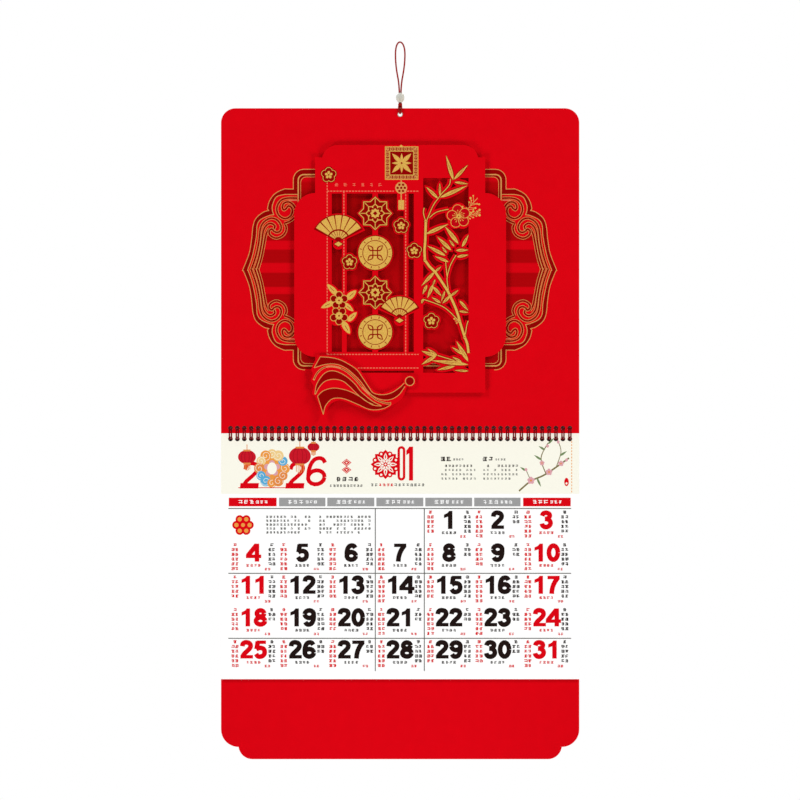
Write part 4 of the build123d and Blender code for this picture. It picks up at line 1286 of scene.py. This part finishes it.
# The cell before the first day: its rosette's middle, reach, rings and heart in pixels, its blocks of notes
# with their lengths, and their top, lines, leading, step, size, share and what the last line is short of
ROSETTE_PX, ROSETTE_REACH_PX = (243.0, 525.0), 6.6
ROSETTE_RINGS, ROSETTE_HEART = (("red", 4.2, 14), ("amber", 2.2, 12)), (("red", 4.4, 16), ("amber", 2.0, 12))
NOTE_BLOCKS, BLOCK_TOP, BLOCK_LINES, BLOCK_LEADING = ((266.0, 13), (319.0, 15)), 515.6, 5, 3.9
BLOCK_STEP, BLOCK_SIZE, BLOCK_SHARE, BLOCK_SHORT = 3.5, 2.5, 0.85, 3
WREATH_INKS = ("amber", "cyan", "straw", "straw", "amber", "straw", "orange", "cyan", "cyan", "amber",
               "orange", "orange")
TWIG_LINES_PX = [
    ([(519.0, 491.0), (531.0, 481.0), (546.0, 474.0), (569.0, 458.0)], 2.0),
    ([(546.0, 474.0), (541.0, 458.0), (548.0, 443.0)], 1.2),
    ([(556.0, 467.5), (561.0, 452.0), (558.0, 441.0)], 1.0),
    ([(531.0, 481.0), (526.0, 470.0)], 0.9),
]
TWIG_LEAVES_PX = [((541.5, 460.0), (534.0, 455.0)), ((548.0, 444.0), (554.0, 438.0)),
                  ((559.6, 456.0), (567.0, 451.0)), ((526.4, 471.0), (520.0, 467.0)),
                  ((545.0, 450.0), (538.5, 446.0)), ((537.0, 478.0), (541.0, 487.0))]
TWIG_BLOSSOMS_PX = [(531.0, 480.5, 4.2), (549.0, 472.0, 3.8), (561.0, 463.5, 3.2), (542.0, 463.0, 2.8)]
TWIG_BUDS_PX = [(547.6, 446.0), (558.2, 442.0), (526.0, 469.6), (566.5, 460.0)]
TWIG_LEAF_WIDTH, TWIG_BUD_PX = 2.6, (2.8, 3.4, 12)
# The red bud under the twig: ink, then place, width, height and steps of each oval
TWIG_END_PX = [("red", 566.5, 482.0, 4.6, 8.4, 18), ("cream", 566.5, 483.4, 2.0, 2.4, 10)]

# Numerals as strokes in a box one unit high, with their solid parts as polygons
NUMERAL_WIDTH, NUMERAL_STROKE = 0.72, 0.225
STROKES_SIX = [
    ellipse(0.36, 0.32, 0.235, 0.21, range(0, 361, 24)),
    smooth([(0.13, 0.34), (0.13, 0.52), (0.17, 0.71), (0.26, 0.85), (0.39, 0.895), (0.5, 0.86),
            (0.57, 0.755)], 3),
]
NUMERAL_STROKES = {
    "0": [ellipse(0.36, 0.5, 0.235, 0.39, range(0, 361, 20))],
    "1": [],
    "2": [smooth([(0.13, 0.68), (0.16, 0.82), (0.26, 0.89), (0.37, 0.895), (0.5, 0.85), (0.565, 0.72),
                  (0.52, 0.57), (0.38, 0.41), (0.24, 0.27), (0.15, 0.12)], 3)],
    "3": [smooth([(0.13, 0.72), (0.18, 0.84), (0.28, 0.89), (0.38, 0.89), (0.49, 0.84), (0.53, 0.74),
                  (0.48, 0.62), (0.37, 0.56), (0.27, 0.555)], 3),
          smooth([(0.27, 0.555), (0.42, 0.54), (0.54, 0.44), (0.57, 0.3), (0.5, 0.17), (0.37, 0.105),
                  (0.24, 0.12), (0.15, 0.2), (0.12, 0.3)], 3)],
    "4": [[(0.52, 0.93), (0.06, 0.33)]],
    "5": [[(0.22, 0.95), (0.16, 0.52)],
          smooth([(0.14, 0.5), (0.25, 0.575), (0.38, 0.59), (0.51, 0.54), (0.575, 0.42), (0.565, 0.26),
                  (0.48, 0.15), (0.35, 0.105), (0.22, 0.13), (0.13, 0.26)], 3)],
    "6": STROKES_SIX,
    "7": [smooth([(0.6, 0.9), (0.46, 0.7), (0.35, 0.46), (0.29, 0.22), (0.27, 0.0)], 3)],
    "8": [ellipse(0.36, 0.72, 0.19, 0.17, range(0, 361, 24)),
          ellipse(0.36, 0.305, 0.235, 0.195, range(0, 361, 24))],
    "9": [[(NUMERAL_WIDTH - x, 1 - z) for x, z in line] for line in STROKES_SIX],
}
NUMERAL_SOLIDS = {
    "1": [[(0.3, 0), (0.535, 0), (0.535, 1), (0.36, 1), (0.27, 0.88), (0.09, 0.79), (0.09, 0.6),
           (0.3, 0.68)]],
    "2": [box(0.03, 0, 0.69, 0.195)],
    "4": [box(0.42, 0, 0.655, 1), box(-0.04, 0.195, 0.76, 0.39)],
    "5": [box(0.155, 0.81, 0.65, 1)],
    "7": [box(0.05, 0.81, 0.69, 1)],
}


def number(work, ink, text, px, top, height, width, weight, slant=0.0):
    """Numbers centred on a pixel, with their top at another; weight scales their strokes."""
    size = height * PIXEL
    left, foot = at(px, top + height)
    left -= len(text) * NUMERAL_WIDTH * size * width / 2

    def shown(points, shift):
        return [(left + (shift + x) * size * width + slant * z * size, foot + z * size) for x, z in points]

    for index, digit in enumerate(text):
        shift = index * NUMERAL_WIDTH
        for line in NUMERAL_STROKES[digit]:
            work.line(ink, shown(line, shift), NUMERAL_STROKE * size * weight)
        for outline in NUMERAL_SOLIDS.get(digit, []):
            work.ink(ink, shown(outline, shift))


def note_column(work, ink, x, y, rows, draw):
    """A column of small print: one mark at its head and rows of two below it."""
    mark(work, ink, x + NOTE_ACROSS / 2, y, NOTE_SIZE, draw, NOTE_WEIGHT)
    for row in range(1, rows):
        marks(work, ink, x, y + row * NOTE_DOWN, 2, NOTE_ACROSS, NOTE_SIZE, draw, NOTE_WEIGHT)


def oval(px, py, width, height, steps=28):
    x, z = at(px, py)
    return [(x + width / 2 * PIXEL * math.cos(2 * math.pi * t / steps),
             z + height / 2 * PIXEL * math.sin(2 * math.pi * t / steps)) for t in range(steps)]


def lantern(work, px, py, width, height):
    """A round paper lantern with ribs, caps and a tassel."""
    for k in range(-2, 3):
        string = px + k * width * 0.08
        foot = py + height * (1.0 - 0.06 * abs(k))
        bar(work, "orange", string - 0.35, py + height * 0.5, string + 0.35, foot)
    bar(work, "orange", px - 0.4, py - height * 0.9, px + 0.4, py - height * 0.4)
    work.ink("lantern", oval(px, py, width, height))
    x, z = at(px, py)
    w, h = width / 2 * PIXEL, height / 2 * PIXEL
    for k in (-0.62, -0.25, 0.25, 0.62):
        work.line("rib", ellipse(x, z, w * k, h * 0.94, range(-75, 76, 15)), 0.6)
    for side in (-1, 1):
        cap = py + side * height * 0.47
        bar(work, "orange", px - width * 0.2, cap - 0.9, px + width * 0.2, cap + 0.9)


def paper_cut(work, ink, px, py, reach):
    """A square paper-cut rosette with cut-out petals, as put on windows at New Year."""
    middle = at(px, py)
    size = reach * PIXEL
    cuts = (("cream", 0.3, 0.86, 0.26, 0), (ink, 0.42, 0.76, 0.1, 0), ("cream", 0.12, 0.44, 0.14, 22.5))
    for turn in (0, 45):
        work.ink(ink, turned(square(0, 0, 0.78 * size), turn, middle))
    for k, spot in enumerate(around(middle, 0.84 * size, 8, 22.5)):
        work.dot(ink, spot, 0.2 * size)
        work.dot("cream", spot, 0.09 * size, 8)
        for fill, root, tip, width, turn in cuts:
            petal = lens((root * size, 0), (tip * size, 0), width * size)
            work.ink(fill, turned(petal, 45 * k + turn, middle))
    work.dot(ink, middle, 0.16 * size, 14)
    work.dot("cream", middle, 0.07 * size, 10)


def scroll_cloud(work, ink, px, py, size, turn):
    """A curled cloud, as embroidery has it."""
    middle = at(px, py)
    curl = []
    for t in range(15):
        reach = (1 - t / 16) * size * PIXEL
        curl.append((reach * math.cos(t * 0.62), reach * math.sin(t * 0.62)))
    work.dot(ink, middle, size * PIXEL * 1.1, 18)
    work.line("cream", turned(curl, turn, middle), 0.5)


def cloud_wreath(work, px, py):
    """A wreath of curled clouds, which reads as the year's nought."""
    work.ink("amber", oval(px, py, *WREATH_SIZE_PX))
    across, up = WREATH_REACH_PX
    for k, ink in enumerate(WREATH_INKS):
        angle = math.radians(30 * k)
        x, y = px + across * math.cos(angle), py - up * math.sin(angle)
        scroll_cloud(work, ink, x, y, CLOUDS_PX[k % 2], 70 * k)
    for petal in around(at(px, py), PETALS_REACH, 5, 90):
        work.dot("pink", petal, PETAL_RADIUS, 14)
    work.ink("cream", oval(px, py, *WREATH_HOLE_PX))


def blossom_twig(work):
    """A generic twig with buds and leaves at the strip's right end."""
    for line, width in TWIG_LINES_PX:
        work.line("olive", smooth(all_at(line)), width)
    for base, tip in TWIG_LEAVES_PX:
        work.ink("leaf", lens(at(*base), at(*tip), TWIG_LEAF_WIDTH))
    for px, py, size in TWIG_BLOSSOMS_PX:
        for middle in around(at(px, py), size * 0.5 * PIXEL, 5, 90):
            work.dot("pink", middle, size * 0.42 * PIXEL, 10)
        work.dot("orange", at(px, py), size * 0.26 * PIXEL, 10)
    for px, py in TWIG_BUDS_PX:
        work.ink("pink", oval(px, py, *TWIG_BUD_PX))
    for ink, *spot in TWIG_END_PX:
        work.ink(ink, oval(*spot))


def year_strip(work, draw):
    for digit in YEAR_DIGITS:
        number(work, "red", *digit)
    cloud_wreath(work, *WREATH_PX)
    bar(work, "red", *YEAR_RULE_PX)
    for spot in LANTERNS_PX:
        lantern(work, *spot)
    for step in range(2):
        x, z = at(DIAMONDS_PX[0], DIAMONDS_PX[1] + step * DIAMOND_STEP_PX)
        for reach, ink in DIAMOND_RINGS:
            rise = reach * DIAMOND_FLATNESS
            work.ink(ink, [(x - reach, z), (x, z - rise), (x + reach, z), (x, z + rise)])
    marks(work, "black", *YEAR_MARKS, draw)
    marks(work, "line", *YEAR_FINE_MARKS, draw)
    paper_cut(work, "red", *PAPER_CUT_PX)
    nought = []
    for y, start in NOUGHT_ARCS_Y:
        nought += arc(*at(NOUGHT_X, y), NOUGHT_RADIUS_PX * PIXEL, start, start + 180, 8)
    work.line("red", nought, NOUGHT_STROKE_PX * PIXEL, closed=True)
    bar(work, "red", *MONTH_ONE_PX)
    work.ink("red", all_at(MONTH_FLAG_PX))
    x, y, count, step, size = MONTH_MARKS
    for k in range(count):
        mark(work, "red" if k in MONTH_RED_MARKS else "line", x + k * step, y, size, draw)
    for left in FESTIVALS_X:
        for ink, shift, top, count, step, size, share in FESTIVAL_PRINT:
            marks(work, ink, left + shift, top, count, step, size, draw, share=share)
    blossom_twig(work)
    left, top, right, foot = EDGE_DASH_PX
    for k in range(EDGE_DASHES):
        bar(work, "amber", left, top + k * EDGE_STEP, right, foot + k * EDGE_STEP)


def note_cell(work, draw):
    """The cell before the first day: a small rosette and rows of fine notes."""
    middle = at(*ROSETTE_PX)
    for ink, radius, steps in ROSETTE_RINGS:
        for spot in around(middle, ROSETTE_REACH_PX * PIXEL, 6):
            work.dot(ink, spot, radius * PIXEL, steps)
    for ink, radius, steps in ROSETTE_HEART:
        work.dot(ink, middle, radius * PIXEL, steps)
    for line in range(BLOCK_LINES):
        y = BLOCK_TOP + line * BLOCK_LEADING
        for block, length in NOTE_BLOCKS:
            count = length - BLOCK_SHORT if line == BLOCK_LINES - 1 else length
            marks(work, "line", block, y, count, BLOCK_STEP, BLOCK_SIZE, draw, NOTE_WEIGHT, BLOCK_SHARE)


def day_cells(work, draw):
    for day in range(1, DAYS + 1):
        cell = FIRST_COLUMN + day - 1
        column, row = cell % 7, cell // 7
        x, y = COLUMNS_PX[column], ROWS_PX[row]
        ink = "red" if column in (0, 6) else "black"
        number(work, ink, str(day), x, y, DIGIT_PX, DIGIT_WIDTH, DIGIT_WEIGHT)
        for note_ink, shift, lengths in NOTE_COLUMNS:
            note_column(work, note_ink, x + shift, y - NOTE_RISE, draw.choice(lengths), draw)
        for mark_ink, shift, drop, count, step, size in DAY_MARKS:
            marks(work, mark_ink or ink, x + shift, y + drop, count, step, size, draw)


def build_page_print():
    work = Flatwork()
    draw = random.Random(2026)
    bar(work, "cream", *STRIP_PX)
    for left, right, ink in WEEKDAYS_PX:
        bar(work, ink, left, WEEKDAY_Y[0], right, WEEKDAY_Y[1])
        middle = (left + right) / 2
        for shift, y, count, step, size, weight in WEEKDAY_MARKS:
            marks(work, "white", middle + shift, y, count, step, size, draw, weight)
    for x0, y0, x1, y1 in RULES_PX:
        bar(work, "line", x0 - RULE_HALF_PX, y0 - RULE_HALF_PX, x1 + RULE_HALF_PX, y1 + RULE_HALF_PX)
    day_cells(work, draw)
    note_cell(work, draw)
    year_strip(work, draw)
    half = HALF_WIDTH - PRINT_INSET
    work.card(box(-half, PAGE_FOOT + PRINT_INSET, half, PAGE_TOP - PRINT_INSET))
    for hole in hole_row(PAGE_HOLES_Z, HOLE_WIDTH / 2 + PRINT_INSET, 12):
        work.card(hole, False)
    place_art("page", work, page_inks, PAGE_FRONT, "pages")


build_page_print()

# The holes' walls: how far in from the hole each ring of theirs lies, and their front and rear
WALL_GAPS, WALL_FRONT, WALL_REAR = (0.01, 0.09), HEADER_FRONT + 0.3, HEADER_BACK - 0.02
# Each sheet of painted shade behind a hole row: name, body, slot, look, the board's rear, foot and top, the
# same of its slots, their half width
SHADE_SHEETS = [("header_shade_sheet", "header", "header_red", shade_sheet_look, HEADER_BACK,
          (-475.2, -467.9), (-473.1, -471.22), WIRE_RADIUS - 0.04),
         ("back_shade_sheet", "back", "back_red", dark_shade_sheet_look, BACK_REAR,
          (-488.2, -480.9), (-484.58, -482.3), WIRE_RADIUS + 0.07)]
SHADE_SHEET_INSET, SHADE_SHEET_GAP, SHADE_SHEET_REACH = 2, 0.01, 0.15


def build_hole_walls():
    """The grey core of the board, which shows on the walls of the header's punched holes."""
    outer, inner = [hole_row(HEADER_HOLES_Z, HOLE_WIDTH / 2 - gap) for gap in WALL_GAPS]
    work = Flatwork()
    for wall, hole in zip(outer, inner):
        work.card(wall)
        work.card(hole, False)
    mesh = card_mesh("header_hole_walls", work, WALL_FRONT, WALL_REAR)
    place("header_hole_walls", mesh, core_look, "header")


def build_tapes():
    """Thin sheets of painted shade behind the hole rows, grey behind the header's holes and dark behind the
    pages' holes, with a slot for each strand of the wire.
    """
    for name, body, slot, look, rear, (foot, top), (slot_foot, slot_top), slot_half in SHADE_SHEETS:
        slots = [box(strand - slot_half, slot_foot, strand + slot_half, slot_top)
                 for x in loop_places() for strand in (x - TWIN_OFFSET, x + TWIN_OFFSET)]
        outline = box(-HALF_WIDTH + SHADE_SHEET_INSET, foot, HALF_WIDTH - SHADE_SHEET_INSET, top)
        shade_sheet = cut_board(name, outline, slots, rear + SHADE_SHEET_GAP, rear + SHADE_SHEET_REACH)
        place(name, shade_sheet, look, body)


build_hole_walls()
build_tapes()

# The hidden spacers keep their CAD shape
for node, look in (("plaque_spacer", plaque_look), ("ribbon_spacer", ribbon_look)):
    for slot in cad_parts[node].material_slots:
        slot.material = look


# Room and light, in metres and degrees. The room's glossy reflection is weaker than its light

FLOOR_HALF, FLOOR_FRONT, FLOOR_REAR, FLOOR_Z = 0.6, -0.5, 0.4, -1.75
ROOM_STRENGTH, ROOM_GLOSSY_STRENGTH = 0.25, 0.12
# Name, tilt off the camera's line, turns about it and strength of each set of lamps
LAMPS = [("lamp_", 72, (45, 135, 225, 315), 1.96), ("back_lamp_", 150, (50, 130), 1.25)]
LAMP_SOFTNESS = 16


def build_room():
    floor_mesh = bpy.data.meshes.new("floor")
    corners = box(-FLOOR_HALF, FLOOR_FRONT, FLOOR_HALF, FLOOR_REAR)
    floor_mesh.from_pydata([(x, y, FLOOR_Z) for x, y in corners], [], [[0, 1, 2, 3]])
    floor = bpy.data.objects.new("floor", floor_mesh)
    bpy.context.scene.collection.objects.link(floor)
    floor_look = Shader("floor_look", (0.86, 0.86, 0.85), 0.8)
    floor_look.colour(floor_look.ramp(floor_look.noise(6, 3), [(0.3, 0.84), (0.7, 0.88)]))
    floor_mesh.materials.append(floor_look.material)
    world = bpy.data.worlds.new("world")
    bpy.context.scene.world = world
    world.use_nodes = True
    tree = world.node_tree
    background = tree.nodes["Background"]
    background.inputs["Color"].default_value = (1, 1, 1, 1)
    paths = tree.nodes.new("ShaderNodeLightPath")
    glossy = tree.nodes.new("ShaderNodeMapRange")
    glossy.inputs["To Min"].default_value = ROOM_STRENGTH
    glossy.inputs["To Max"].default_value = ROOM_GLOSSY_STRENGTH
    tree.links.new(paths.outputs["Is Glossy Ray"], glossy.inputs["Value"])
    seen = tree.nodes.new("ShaderNodeMath")
    seen.operation = "MAXIMUM"
    tree.links.new(paths.outputs["Is Camera Ray"], seen.inputs[0])
    tree.links.new(glossy.outputs["Result"], seen.inputs[1])
    tree.links.new(seen.outputs["Value"], background.inputs["Strength"])


def sun(name, tilt, turn, strength):
    """A soft lamp that shines on the front from tilt degrees off the camera's line."""
    data = bpy.data.lights.new(name, "SUN")
    data.energy = strength
    data.angle = math.radians(LAMP_SOFTNESS)
    lamp = bpy.data.objects.new(name, data)
    bpy.context.scene.collection.objects.link(lamp)
    t, a = math.radians(tilt), math.radians(turn)
    towards = Vector((math.sin(t) * math.cos(a), -math.cos(t), math.sin(t) * math.sin(a)))
    lamp.rotation_euler = towards.to_track_quat("Z", "Y").to_euler()


build_room()
for name, tilt, turns, strength in LAMPS:
    for index, turn in enumerate(turns):
        sun(name + str(index), tilt, turn, strength)
bpy.context.scene.view_settings.view_transform = "Standard"
